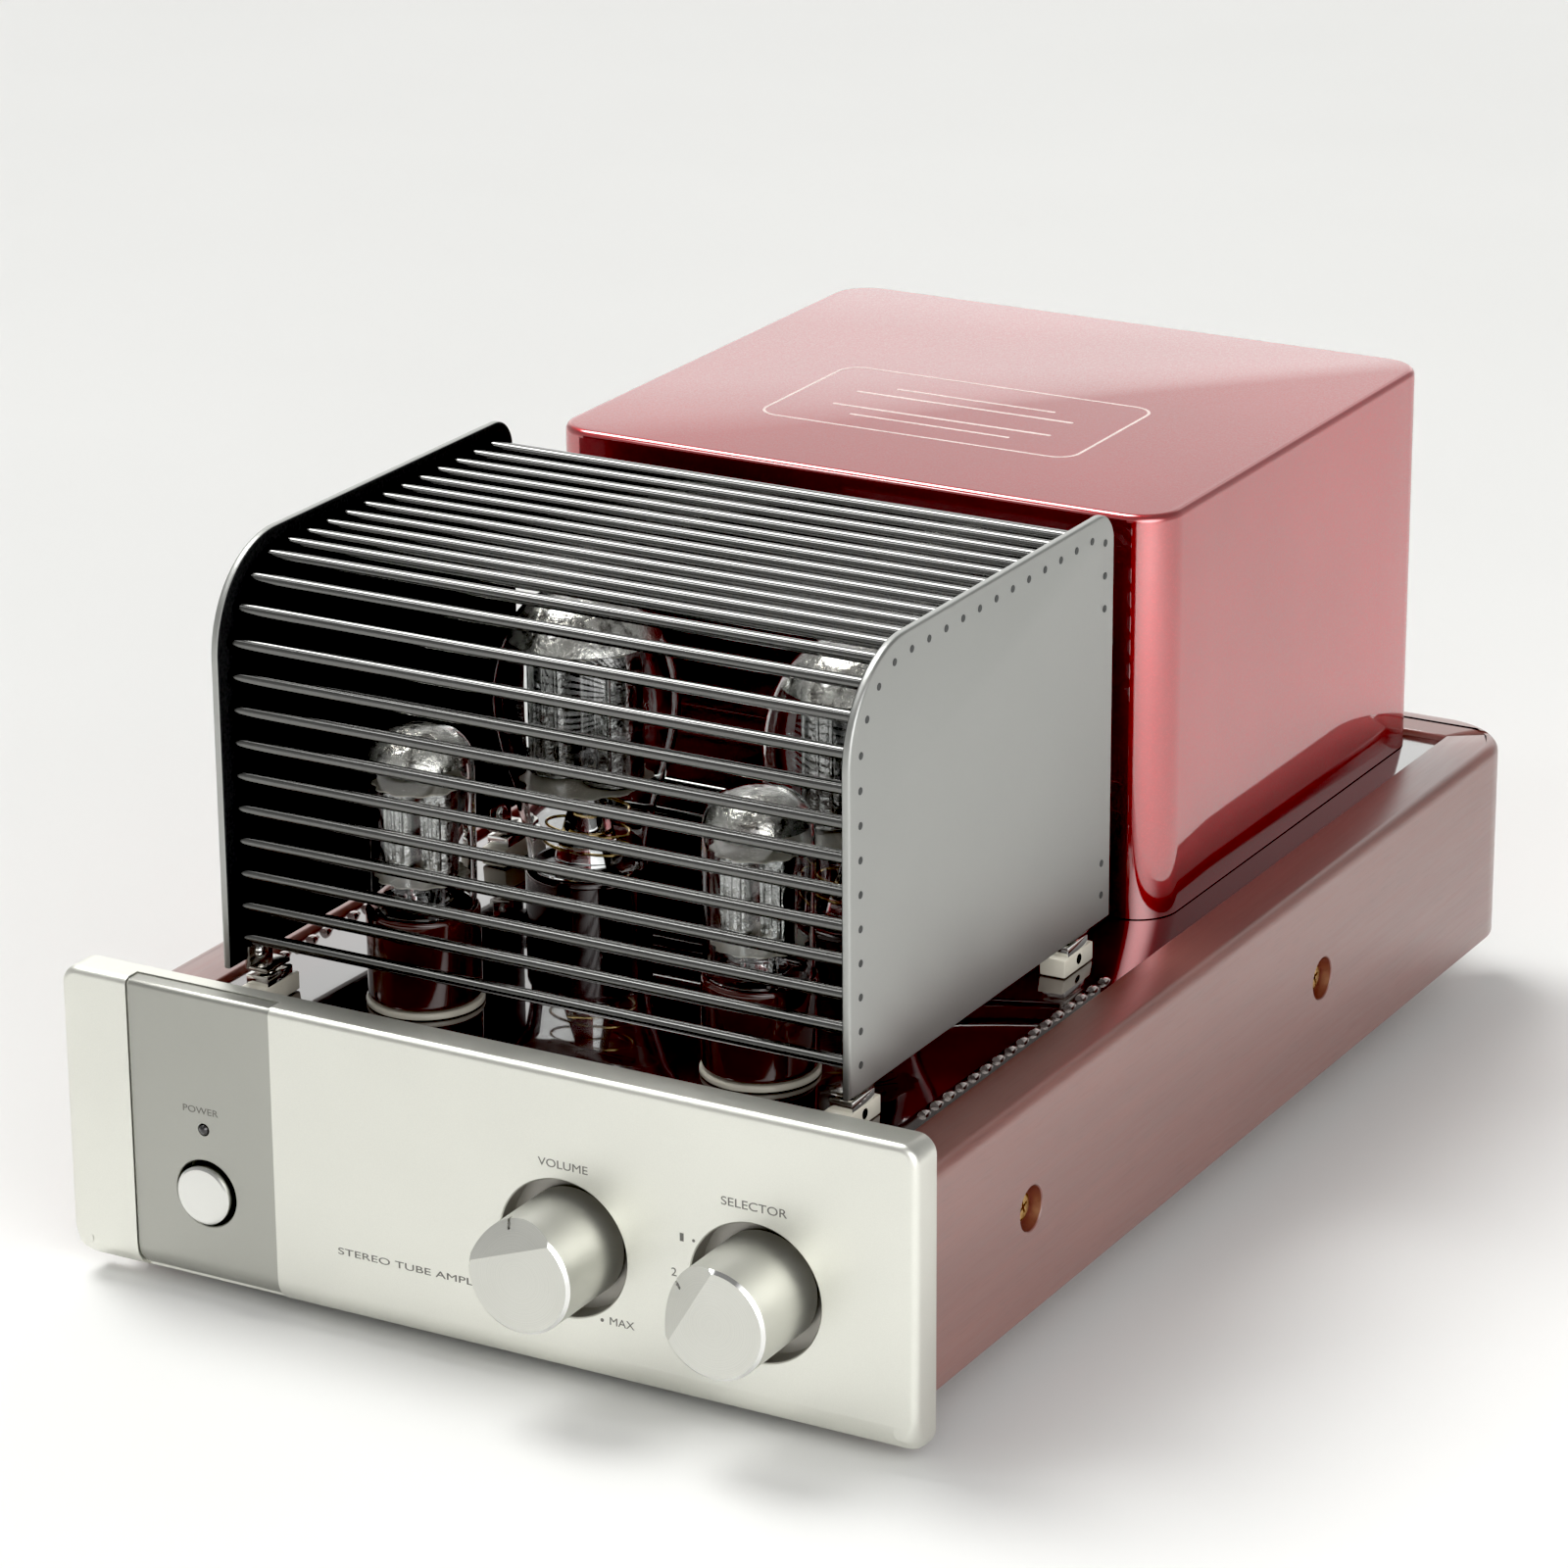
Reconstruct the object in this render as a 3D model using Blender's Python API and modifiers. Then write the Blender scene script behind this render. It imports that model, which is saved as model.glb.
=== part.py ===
"""Integrated stereo tube amplifier, modelled as the pieces it is assembled from.

Metres, +Z up. X runs across the amplifier, the controls face -Y, and z = 0 is the surface
the feet stand on. The origin is below the middle of the amplifier's outline.
"""
import math

import bmesh
import bpy
from mathutils import Matrix, Vector

# ---------------------------------------------------------------- driving dimensions
GAP = 0.0003                 # clearance between pieces that touch

KNOB_REACH = 0.0255          # how far the knobs stand out of the panel's face
PANEL_FACE_TO_REAR = 0.4626  # panel face to the outside of the rear rail
FRONT_Y = -(PANEL_FACE_TO_REAR - KNOB_REACH) / 2

PANEL_WIDTH = 0.300
PANEL_HEIGHT = 0.099
PANEL_THICKNESS = 0.0122
PANEL_BOTTOM = 0.005
PANEL_CORNER = 0.006
PANEL_LOWER_ROUND = 0.010
PANEL_UPPER_ROUND = 0.0025

CHANNEL_LEFT = -0.1254       # channel filled by the grey strip with the power button
CHANNEL_RIGHT = -0.0727
CHANNEL_DEPTH = 0.0068
INLAY_SET_BACK = 0.0004
INLAY_REAR = 0.0065

BUTTON_X = -0.0985
BUTTON_Z = 0.0375
BUTTON_RADIUS = 0.0096
BUTTON_HOLE = 0.0110
BUTTON_REACH = 0.0024        # how far the button stands out of the panel's face
BUTTON_HEAD = 0.0110
PLUNGER_RADIUS = 0.0040
LED_Z = 0.0589
LED_RADIUS = 0.0018

KNOB_Z = 0.0473
VOLUME_X = 0.0307
SELECTOR_X = 0.0964
KNOB_RADIUS = 0.0175
KNOB_POCKET_RADIUS = 0.022
KNOB_POCKET_DEPTH = 0.008
KNOB_FACET_START = 0.0084    # from the knob's axis to the edge of its sloping facet
KNOB_FACET_ANGLE = math.radians(31)
VOLUME_POINTER = math.radians(-20)    # clockwise from straight up, seen from the front
SELECTOR_POINTER = math.radians(-59)
SHAFT_RADIUS = 0.003

CHASSIS_HALF_WIDTH = 0.1236
CHASSIS_FRONT = 0.0126       # behind the panel's face
CHASSIS_REAR = 0.4420
CHASSIS_TOP = 0.0855
CHASSIS_BOTTOM = 0.0175
SHEET = 0.0016
VENT_COUNT = 16
VENT_PITCH = 0.008
VENT_X = 0.1196
VENT_FIRST = 0.0625

BOARD_INSIDE = 0.124
BOARD_OUTSIDE = 0.144
BOARD_TOP = 0.0873
BOARD_BOTTOM = 0.0165
BOARD_CORNER = 0.026
BOARD_SCREWS = (0.0841, 0.2952)       # behind the panel's face
BOARD_SCREW_Z = 0.0514
RAIL_BOTTOM = 0.065
RAIL_INSIDE = 0.4426

COVER_HALF_WIDTH = 0.113
COVER_FRONT = 0.233
COVER_REAR = 0.4417
COVER_TOP = 0.2217
COVER_CORNER = 0.0146
COVER_WALL = 0.002

CAGE_OUTSIDE = 0.1109
CAGE_PLATE = 0.003
CAGE_FRONT = 0.0318
CAGE_REAR = 0.2025
CAGE_BOTTOM = 0.0992
CAGE_TOP = 0.2339
CAGE_FRONT_ROUND = 0.0345
CAGE_REAR_ROUND = 0.010
ROD_RADIUS = 0.002
ROD_INSET = 0.0064
ROD_COUNT = 28
ROD_FIRST_Z = 0.1083
ROD_LAST_Z = 0.2032
CAGE_FEET = (0.046, 0.187)
CAGE_FOOT_X = 0.1035

DRIVER_X = 0.060
DRIVER_Y = 0.068
OUTPUT_X = 0.050
OUTPUT_Y = 0.150

FOOT_RADIUS = 0.020
FOOT_X = 0.092
FOOT_YS = (0.060, 0.395)

CUTTERS = None
PARTS = None


# ---------------------------------------------------------------- helpers
def back(distance):
    """World y of a point this far behind the panel's face."""
    return FRONT_Y + distance


def material(name, colour, roughness, metallic=0.0, alpha=1.0):
    made = bpy.data.materials.new(name)
    made.use_nodes = True
    shader = made.node_tree.nodes["Principled BSDF"]
    shader.inputs["Base Color"].default_value = (*colour, 1.0)
    shader.inputs["Roughness"].default_value = roughness
    shader.inputs["Metallic"].default_value = metallic
    shader.inputs["Alpha"].default_value = alpha
    return made


def add(name, mesh, finish=None, collection=None):
    """Put a mesh into the scene as a named object."""
    piece = bpy.data.objects.new(name, mesh)
    (collection or PARTS).objects.link(piece)
    if finish:
        mesh.materials.clear()
        mesh.materials.append(finish)
    return piece


def tool(name, mesh):
    """A cutter or a piece that is only joined into another."""
    piece = add(name, mesh, None, CUTTERS)
    piece.hide_render = True
    piece.display_type = "WIRE"
    return piece


def mesh_of(bm, name):
    mesh = bpy.data.meshes.new(name)
    bm.to_mesh(mesh)
    bm.free()
    return mesh


def box_mesh(low, high):
    bm = bmesh.new()
    bmesh.ops.create_cube(bm, size=1.0)
    size = Vector(high) - Vector(low)
    middle = (Vector(high) + Vector(low)) / 2
    bmesh.ops.transform(bm, matrix=Matrix.Translation(middle) @ Matrix.Diagonal((*size, 1)), verts=bm.verts)
    return mesh_of(bm, "box")


TURNS = {
    "X": Matrix.Rotation(math.pi / 2, 4, "Y"),
    "Y": Matrix.Rotation(-math.pi / 2, 4, "X"),
    "Z": Matrix.Identity(4),
}


def rods_mesh(rods, radius, sides, axis):
    """Straight round bars in one mesh, each given by its middle and its length."""
    bm = bmesh.new()
    for middle, length in rods:
        place = Matrix.Translation(Vector(middle)) @ TURNS[axis]
        bmesh.ops.create_cone(
            bm, cap_ends=True, segments=sides, radius1=radius, radius2=radius, depth=length, matrix=place
        )
    return mesh_of(bm, "rods")


def rod_mesh(middle, length, radius, sides=24, axis="Z"):
    return rods_mesh([(middle, length)], radius, sides, axis)


def boxes_mesh(pairs):
    bm = bmesh.new()
    for low, high in pairs:
        part = box_mesh(low, high)
        bm.from_mesh(part)
        bpy.data.meshes.remove(part)
    return mesh_of(bm, "boxes")


def arc(centre, radius, start, end, steps):
    """Points of an arc in degrees, both ends included."""
    turns = [math.radians(start + (end - start) * i / steps) for i in range(steps + 1)]
    return [(centre[0] + radius * math.cos(t), centre[1] + radius * math.sin(t)) for t in turns]


def rounded_rectangle(low, high, radius, steps=6):
    (x0, y0), (x1, y1) = low, high
    corners = (
        ((x1 - radius, y0 + radius), -90),
        ((x1 - radius, y1 - radius), 0),
        ((x0 + radius, y1 - radius), 90),
        ((x0 + radius, y0 + radius), 180),
    )
    points = []
    for centre, start in corners:
        points += arc(centre, radius, start, start + 90, steps)
    return points


PLANES = {
    "XY": Matrix.Identity(4),
    "XZ": Matrix.Rotation(math.pi / 2, 4, "X"),
    "YZ": Matrix.Rotation(math.pi / 2, 4, "Z") @ Matrix.Rotation(math.pi / 2, 4, "X"),
}
NORMALS = {"XY": Vector((0, 0, 1)), "XZ": Vector((0, 1, 0)), "YZ": Vector((1, 0, 0))}


def slab_mesh(outline, low, high, plane="XY", holes=()):
    """A flat outline with its holes, extruded from low to high along the plane's normal."""
    curve = bpy.data.curves.new("outline", "CURVE")
    curve.dimensions = "2D"
    curve.fill_mode = "BOTH"
    curve.extrude = (high - low) / 2
    for points in (outline, *holes):
        spline = curve.splines.new("POLY")
        spline.points.add(len(points) - 1)
        for spot, (x, y) in zip(spline.points, points):
            spot.co = (x, y, 0, 1)
        spline.use_cyclic_u = True
    holder = bpy.data.objects.new("outline", curve)
    bpy.context.scene.collection.objects.link(holder)
    bpy.context.view_layer.update()
    seen = holder.evaluated_get(bpy.context.evaluated_depsgraph_get())
    mesh = bpy.data.meshes.new_from_object(seen)
    bm = bmesh.new()
    bm.from_mesh(mesh)
    bmesh.ops.remove_doubles(bm, verts=bm.verts, dist=1e-6)
    bmesh.ops.transform(bm, matrix=PLANES[plane], verts=bm.verts)
    bmesh.ops.translate(bm, vec=NORMALS[plane] * (high + low) / 2, verts=bm.verts)
    bm.to_mesh(mesh)
    bm.free()
    bpy.data.objects.remove(holder)
    bpy.data.curves.remove(curve)
    return mesh


def turned(name, profile, finish, spot, axis="Z", steps=24):
    """A turned piece: (radius, height) points from the top of its outside downwards."""
    bm = bmesh.new()
    corners = [bm.verts.new((radius, 0, height)) for radius, height in profile]
    for first, second in zip(corners, corners[1:]):
        bm.edges.new((first, second))
    if profile[0][0] > 0 or profile[-1][0] > 0:
        bm.edges.new((corners[-1], corners[0]))
    piece = add(name, mesh_of(bm, name), finish)
    screw = piece.modifiers.new("turn", "SCREW")
    screw.steps = steps
    screw.render_steps = steps
    screw.use_merge_vertices = True
    screw.merge_threshold = 0.00001
    piece.matrix_world = Matrix.Translation(Vector(spot)) @ TURNS[axis]
    return piece


def boolean(piece, other, operation):
    change = piece.modifiers.new(operation.lower(), "BOOLEAN")
    change.operation = operation
    change.object = other
    change.solver = "EXACT"


def cut(piece, mesh, name):
    boolean(piece, tool(piece.name + "_" + name, mesh), "DIFFERENCE")


def join(piece, mesh, name):
    boolean(piece, tool(piece.name + "_" + name, mesh), "UNION")


def smooth(piece, angle=math.radians(35)):
    piece.data.shade_smooth()
    piece.data.set_sharp_from_angle(angle=angle)


# ---------------------------------------------------------------- front panel and controls
def side_profile(inset=0.0, rear=PANEL_THICKNESS):
    """The panel seen from its end: a square back, a small upper round and a large lower one."""
    face, low, high = back(inset), PANEL_BOTTOM + inset, PANEL_BOTTOM + PANEL_HEIGHT - inset
    upper, lower = PANEL_UPPER_ROUND - inset, PANEL_LOWER_ROUND - inset
    reach = (rear - inset) / lower
    stop = 270 if reach >= 1 else 180 + math.degrees(math.acos(1 - reach))
    points = arc((face + upper, high - upper), upper, 90, 180, 4)
    points += arc((face + lower, low + lower), lower, 180, stop, 7)
    corners = [(back(rear), high)]
    if reach > 1:
        corners.insert(0, (back(rear), low))
    return corners + points


def front_panel(finish):
    half = PANEL_WIDTH / 2
    low, high = PANEL_BOTTOM, PANEL_BOTTOM + PANEL_HEIGHT
    outline = rounded_rectangle((-half, low), (half, high), PANEL_CORNER, 5)
    panel = add("front_panel", slab_mesh(outline, back(0), back(PANEL_THICKNESS), "XZ"), finish)
    ends = slab_mesh(side_profile(), -half - 0.005, half + 0.005, "YZ")
    boolean(panel, tool("front_panel_profile", ends), "INTERSECT")
    channel = box_mesh(
        (CHANNEL_LEFT, back(-0.005), low - 0.005), (CHANNEL_RIGHT, back(CHANNEL_DEPTH), high + 0.005)
    )
    cut(panel, channel, "channel")
    pocket_middle = back(KNOB_POCKET_DEPTH - 0.010)
    pockets = [((x, pocket_middle, KNOB_Z), 0.020) for x in (VOLUME_X, SELECTOR_X)]
    cut(panel, rods_mesh(pockets, KNOB_POCKET_RADIUS, 40, "Y"), "pockets")
    bores = [((x, back(0.006), KNOB_Z), 0.030) for x in (VOLUME_X, SELECTOR_X)]
    cut(panel, rods_mesh(bores, SHAFT_RADIUS + 0.0015, 16, "Y"), "shaft_bores")
    cut(panel, rod_mesh((BUTTON_X, back(0.006), BUTTON_Z), 0.030, BUTTON_HOLE, 32, "Y"), "button_bore")
    cut(panel, rod_mesh((BUTTON_X, back(0.006), LED_Z), 0.030, LED_RADIUS + GAP, 12, "Y"), "lamp_bore")
    smooth(panel)


def panel_inlay(finish):
    profile = side_profile(INLAY_SET_BACK, INLAY_REAR)
    inlay = add("panel_inlay", slab_mesh(profile, CHANNEL_LEFT + GAP, CHANNEL_RIGHT - GAP, "YZ"), finish)
    cut(inlay, rod_mesh((BUTTON_X, back(0.006), BUTTON_Z), 0.030, BUTTON_HOLE, 32, "Y"), "button_bore")
    cut(inlay, rod_mesh((BUTTON_X, back(0.006), LED_Z), 0.030, LED_RADIUS + GAP, 12, "Y"), "lamp_bore")
    smooth(inlay)


def power_controls(polished, lamp, plastic):
    """A domed push button with its plunger, the lamp above it and the switch behind them."""
    radius = BUTTON_RADIUS
    profile = [
        (0, 0), (0.0050, -0.0001), (radius - 0.0008, -0.0004), (radius, -0.0011), (radius, -BUTTON_HEAD),
        (PLUNGER_RADIUS, -BUTTON_HEAD), (PLUNGER_RADIUS, -0.0260), (0, -0.0260),
    ]
    button = turned("power_button", profile, polished, (0, 0, 0), "Z", 32)
    turn = Matrix.Rotation(math.pi / 2, 4, "X")
    button.matrix_world = Matrix.Translation((BUTTON_X, back(-BUTTON_REACH), BUTTON_Z)) @ turn
    smooth(button)
    profile = [(0, 0), (0.0009, -0.0003), (LED_RADIUS, -0.0012), (LED_RADIUS, -0.0160), (0, -0.0160)]
    led = turned("power_led", profile, lamp, (0, 0, 0), "Z", 12)
    led.matrix_world = Matrix.Translation((BUTTON_X, back(-0.0008), LED_Z)) @ turn
    smooth(led)
    low = (BUTTON_X - 0.009, back(CHASSIS_FRONT + SHEET + GAP), BUTTON_Z - 0.010)
    high = (BUTTON_X + 0.009, back(0.0560), BUTTON_Z + 0.010)
    switch = add("power_switch", box_mesh(low, high), plastic)
    bore = rod_mesh((BUTTON_X, back(0.0190), BUTTON_Z), 0.0180, PLUNGER_RADIUS + GAP, 16, "Y")
    cut(switch, bore, "plunger_bore")


def knob(name, x, pointer, finish):
    """A knob whose front is cut back by a sloping facet on its pointer's side."""
    length = KNOB_REACH + 0.0065
    profile = [(0, 0), (KNOB_RADIUS - 0.0008, 0), (KNOB_RADIUS, -0.0008), (KNOB_RADIUS, -length),
               (SHAFT_RADIUS + GAP, -length), (SHAFT_RADIUS + GAP, -0.012), (0, -0.012)]
    piece = turned(name, profile, finish, (0, 0, 0), "Z", 40)
    tilt = Matrix.Rotation(pointer, 4, "Y") @ Matrix.Translation((0, back(-KNOB_REACH) - FRONT_Y, 0))
    piece.matrix_world = (
        Matrix.Translation((x, FRONT_Y, KNOB_Z)) @ tilt @ Matrix.Rotation(math.pi / 2, 4, "X")
    )
    wedge = box_mesh((-0.03, -0.03, 0), (0.03, 0, 0.04))
    slope = Matrix.Translation((0, 0, KNOB_FACET_START)) @ Matrix.Rotation(-KNOB_FACET_ANGLE, 4, "X")
    wedge.transform(Matrix.Translation((x, FRONT_Y, KNOB_Z)) @ tilt @ slope)
    cut(piece, wedge, "facet")
    smooth(piece)


def shaft(name, x, finish):
    start, end = back(0.0130 - KNOB_REACH), back(0.0200)
    middle = (x, (start + end) / 2, KNOB_Z)
    smooth(add(name, rod_mesh(middle, end - start, SHAFT_RADIUS, 16, "Y"), finish))


def rotary_body(name, x, radius, length, finish):
    """A potentiometer or rotary switch behind the chassis front, bored for its shaft."""
    front = back(0.0146)
    profile = [(radius, 0), (radius, -length), (SHAFT_RADIUS + 0.0001, -length), (SHAFT_RADIUS + 0.0001, 0)]
    piece = turned(name, profile, finish, (0, 0, 0), "Z", 24)
    piece.matrix_world = Matrix.Translation((x, front, KNOB_Z)) @ Matrix.Rotation(math.pi / 2, 4, "X")
    smooth(piece)


# ---------------------------------------------------------------- case
def chassis(finish):
    low = (-CHASSIS_HALF_WIDTH, back(CHASSIS_FRONT), CHASSIS_BOTTOM)
    high = (CHASSIS_HALF_WIDTH, back(CHASSIS_REAR), CHASSIS_TOP)
    body = add("chassis", box_mesh(low, high), finish)
    inner_low = (low[0] + SHEET, low[1] + SHEET, low[2] - 0.01)
    inner_high = (high[0] - SHEET, high[1] + 0.01, high[2] - SHEET)
    cut(body, box_mesh(inner_low, inner_high), "hollow")
    middle = CHASSIS_TOP - SHEET / 2
    drivers = [((side * DRIVER_X, back(DRIVER_Y), middle), 0.010) for side in (-1, 1)]
    cut(body, rods_mesh(drivers, 0.0145, 24, "Z"), "driver_holes")
    outputs = [((side * OUTPUT_X, back(OUTPUT_Y), middle), 0.010) for side in (-1, 1)]
    cut(body, rods_mesh(outputs, 0.0220, 28, "Z"), "output_holes")
    slots = []
    for side in (-1, 1):
        for count in range(VENT_COUNT):
            y = back(VENT_FIRST + count * VENT_PITCH)
            x = side * VENT_X
            low_corner = (x - 0.0012, y - 0.0022, middle - 0.005)
            slots.append((low_corner, (x + 0.0012, y + 0.0022, middle + 0.005)))
    cut(body, boxes_mesh(slots), "vents")
    shafts = [((x, back(CHASSIS_FRONT), KNOB_Z), 0.010) for x in (VOLUME_X, SELECTOR_X)]
    cut(body, rods_mesh(shafts, 0.005, 16, "Y"), "shaft_holes")
    plunger = rod_mesh((BUTTON_X, back(CHASSIS_FRONT), BUTTON_Z), 0.010, PLUNGER_RADIUS + 0.001, 16, "Y")
    cut(body, plunger, "plunger_hole")
    cut(body, rod_mesh((BUTTON_X, back(CHASSIS_FRONT), LED_Z), 0.010, 0.003, 12, "Y"), "lamp_hole")


def rear_plate(finish):
    """The plate that closes the chassis behind, between its side walls and under its deck."""
    half = CHASSIS_HALF_WIDTH - SHEET - GAP
    rear = back(CHASSIS_REAR)
    low = (-half, rear - SHEET, CHASSIS_BOTTOM)
    plate = add("rear_plate", box_mesh(low, (half, rear, CHASSIS_TOP - SHEET - GAP)), finish)
    low_corner = (INLET_X - 0.0138, rear - 0.005, INLET_Z - 0.0103)
    inlet = box_mesh(low_corner, (INLET_X + 0.0138, rear + 0.005, INLET_Z + 0.0103))
    cut(plate, inlet, "inlet_hole")
    cut(plate, rod_mesh((FUSE_X, rear, INLET_Z), 0.010, 0.0064, 20, "Y"), "fuse_hole")


def bottom_cover(finish):
    half = CHASSIS_HALF_WIDTH
    front, rear = back(CHASSIS_FRONT), back(CHASSIS_REAR)
    outline = [(-half, front), (half, front), (half, rear), (-half, rear)]
    holes = []
    for row in range(2):
        for count in range(9):
            x = -0.048 + count * 0.012
            y = back(0.110 + row * 0.180)
            holes.append(rounded_rectangle((x - 0.002, y - 0.030), (x + 0.002, y + 0.030), 0.0019, 2))
    top = CHASSIS_BOTTOM - GAP
    add("bottom_cover", slab_mesh(outline, top - SHEET, top, "XY", holes), finish)


def board_outline():
    """Right side board in plan: straight, then round its rear corner as far as the mitre."""
    front, rear = back(CHASSIS_FRONT), back(PANEL_FACE_TO_REAR)
    centre = (BOARD_OUTSIDE - BOARD_CORNER, rear - BOARD_CORNER)
    points = [(BOARD_INSIDE, front), (BOARD_OUTSIDE, front)]
    points += arc(centre, BOARD_CORNER, 0, 44.4, 6)
    points.append((BOARD_INSIDE, back(RAIL_INSIDE) - GAP))
    return points


def side_board(name, side, finish):
    outline = [(side * x, y) for x, y in board_outline()]
    board = add(name, slab_mesh(outline, BOARD_BOTTOM, BOARD_TOP), finish)
    recesses = [((side * BOARD_OUTSIDE, back(y), BOARD_SCREW_Z), 0.010) for y in BOARD_SCREWS]
    cut(board, rods_mesh(recesses, 0.0072, 24, "X"), "counterbores")
    middle = side * (BOARD_OUTSIDE + BOARD_INSIDE) / 2
    holes = [((middle, back(y), BOARD_SCREW_Z), 0.030) for y in BOARD_SCREWS]
    cut(board, rods_mesh(holes, 0.0023, 12, "X"), "screw_holes")


def rear_rail(finish):
    rear = back(PANEL_FACE_TO_REAR)
    centre = (BOARD_OUTSIDE - BOARD_CORNER, rear - BOARD_CORNER)
    right = [(BOARD_INSIDE - GAP, back(RAIL_INSIDE))] + arc(centre, BOARD_CORNER, 45.6, 90, 6)
    left = [(-x, y) for x, y in reversed(right)]
    add("rear_rail", slab_mesh(right + left, RAIL_BOTTOM, BOARD_TOP), finish)


def side_screw(name, side, y, finish):
    """Countersunk into the board: a pan head in the counterbore, its shank in the board."""
    seat = BOARD_OUTSIDE - 0.005
    head = 0.0022
    profile = [(0, head), (0.0042, head), (0.0055, head - 0.0010), (0.0055, GAP), (0.0019, GAP),
               (0.0019, 0.0152 - 0.030), (0, 0.0152 - 0.030)]
    piece = turned(name, profile, finish, (0, 0, 0), "Z", 16)
    turn = Matrix.Rotation(side * math.pi / 2, 4, "Y")
    piece.matrix_world = Matrix.Translation((side * seat, y, BOARD_SCREW_Z)) @ turn
    smooth(piece)


def foot(name, x, y, finish):
    top = CHASSIS_BOTTOM - 2 * GAP - SHEET
    profile = [
        (0, top), (0.0175, top), (0.0185, top - 0.001),
        (FOOT_RADIUS, 0.002), (FOOT_RADIUS - 0.001, 0), (0, 0),
    ]
    smooth(turned(name, profile, finish, (x, y, 0), "Z", 22))


def transformer_cover(finish):
    low = (-COVER_HALF_WIDTH, back(COVER_FRONT))
    high = (COVER_HALF_WIDTH, back(COVER_REAR))
    outline = rounded_rectangle(low, high, COVER_CORNER, 7)
    cover = add("transformer_cover", slab_mesh(outline, CHASSIS_TOP + GAP, COVER_TOP), finish)
    inner_low = (low[0] + COVER_WALL, low[1] + COVER_WALL)
    inner_high = (high[0] - COVER_WALL, high[1] - COVER_WALL)
    inner = rounded_rectangle(inner_low, inner_high, COVER_CORNER - COVER_WALL, 7)
    cut(cover, slab_mesh(inner, CHASSIS_TOP - 0.01, COVER_TOP - COVER_WALL), "hollow")
    smooth(cover)


# ---------------------------------------------------------------- inside the transformer cover
def transformer(name, middle, size, finish):
    """A laminated core standing on the chassis, with its winding showing at both sides."""
    x, y = middle
    width, depth, height = size
    floor = CHASSIS_TOP + GAP
    low = (x - width / 2, y - depth / 4, floor)
    core = add(name, box_mesh(low, (x + width / 2, y + depth / 4, floor + height)), finish)
    low = (x - width / 3, y - depth / 2, floor + height * 0.17)
    high = (x + width / 3, y + depth / 2, floor + height * 0.83)
    join(core, box_mesh(low, high), "winding")


# ---------------------------------------------------------------- cage over the tubes
def cage_outline():
    """A side plate seen from +X: square below, a large front shoulder and a small rear one."""
    front, rear = back(CAGE_FRONT), back(CAGE_REAR)
    points = [(front, CAGE_BOTTOM), (rear, CAGE_BOTTOM)]
    centre = (rear - CAGE_REAR_ROUND, CAGE_TOP - CAGE_REAR_ROUND)
    points += arc(centre, CAGE_REAR_ROUND, 0, 90, 5)
    centre = (front + CAGE_FRONT_ROUND, CAGE_TOP - CAGE_FRONT_ROUND)
    points += arc(centre, CAGE_FRONT_ROUND, 90, 180, 10)
    return points


def rod_spots():
    """Rod centres at an even pitch on a line inside the plates' edge: up, over and down."""
    front, rear = back(CAGE_FRONT) + ROD_INSET, back(CAGE_REAR) - ROD_INSET
    top = CAGE_TOP - ROD_INSET
    wide, tight = CAGE_FRONT_ROUND - ROD_INSET, CAGE_REAR_ROUND - ROD_INSET
    runs = (
        top - wide - ROD_FIRST_Z,
        wide * math.pi / 2,
        rear - tight - front - wide,
        tight * math.pi / 2,
        top - tight - ROD_LAST_Z,
    )
    pitch = sum(runs) / (ROD_COUNT - 1)
    spots = []
    for count in range(ROD_COUNT):
        along = min(count * pitch, sum(runs))
        run = 0
        while run < 4 and along > runs[run]:
            along -= runs[run]
            run += 1
        if run == 0:
            spots.append((front, ROD_FIRST_Z + along))
        elif run == 1:
            spots += arc((front + wide, top - wide), wide, 180 - math.degrees(along / wide), 0, 1)[:1]
        elif run == 2:
            spots.append((front + wide + along, top))
        elif run == 3:
            spots += arc((rear - tight, top - tight), tight, 90 - math.degrees(along / tight), 0, 1)[:1]
        else:
            spots.append((rear, top - tight - along))
    spots += [(rear, ROD_FIRST_Z), (rear, ROD_FIRST_Z + pitch)]
    return spots


def tube_cage(finish):
    """Two side plates riveted to the rods, with four lugs whose pins drop into the sockets."""
    inside = CAGE_OUTSIDE - CAGE_PLATE
    cage = add("tube_cage", slab_mesh(cage_outline(), inside, CAGE_OUTSIDE, "YZ"), finish)
    length = CAGE_OUTSIDE * 2 - CAGE_PLATE
    rods = [((0, y, z), length) for y, z in rod_spots()]
    join(cage, rods_mesh(rods, ROD_RADIUS, 8, "X"), "rods")
    join(cage, slab_mesh(cage_outline(), -CAGE_OUTSIDE, -inside, "YZ"), "left_plate")
    lugs = []
    pins = []
    for side in (-1, 1):
        for distance in CAGE_FEET:
            y = back(distance)
            ends = sorted((side * (CAGE_FOOT_X - 0.004), side * (inside + 0.001)))
            lugs.append(((ends[0], y - 0.007, 0.0958), (ends[1], y + 0.007, 0.1045)))
            pins.append(((side * CAGE_FOOT_X, y, 0.0935), 0.009))
    join(cage, boxes_mesh(lugs), "lugs")
    join(cage, rods_mesh(pins, 0.0020, 10, "Z"), "pins")
    smooth(cage)


def cage_socket(name, side, y, finish):
    top = 0.0955
    x = side * CAGE_FOOT_X
    low = (x - 0.0045, y - 0.010, CHASSIS_TOP + GAP)
    socket = add(name, box_mesh(low, (x + 0.0045, y + 0.010, top)), finish)
    cut(socket, rod_mesh((x, y, top), 0.015, 0.0024, 12), "pin_hole")


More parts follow.
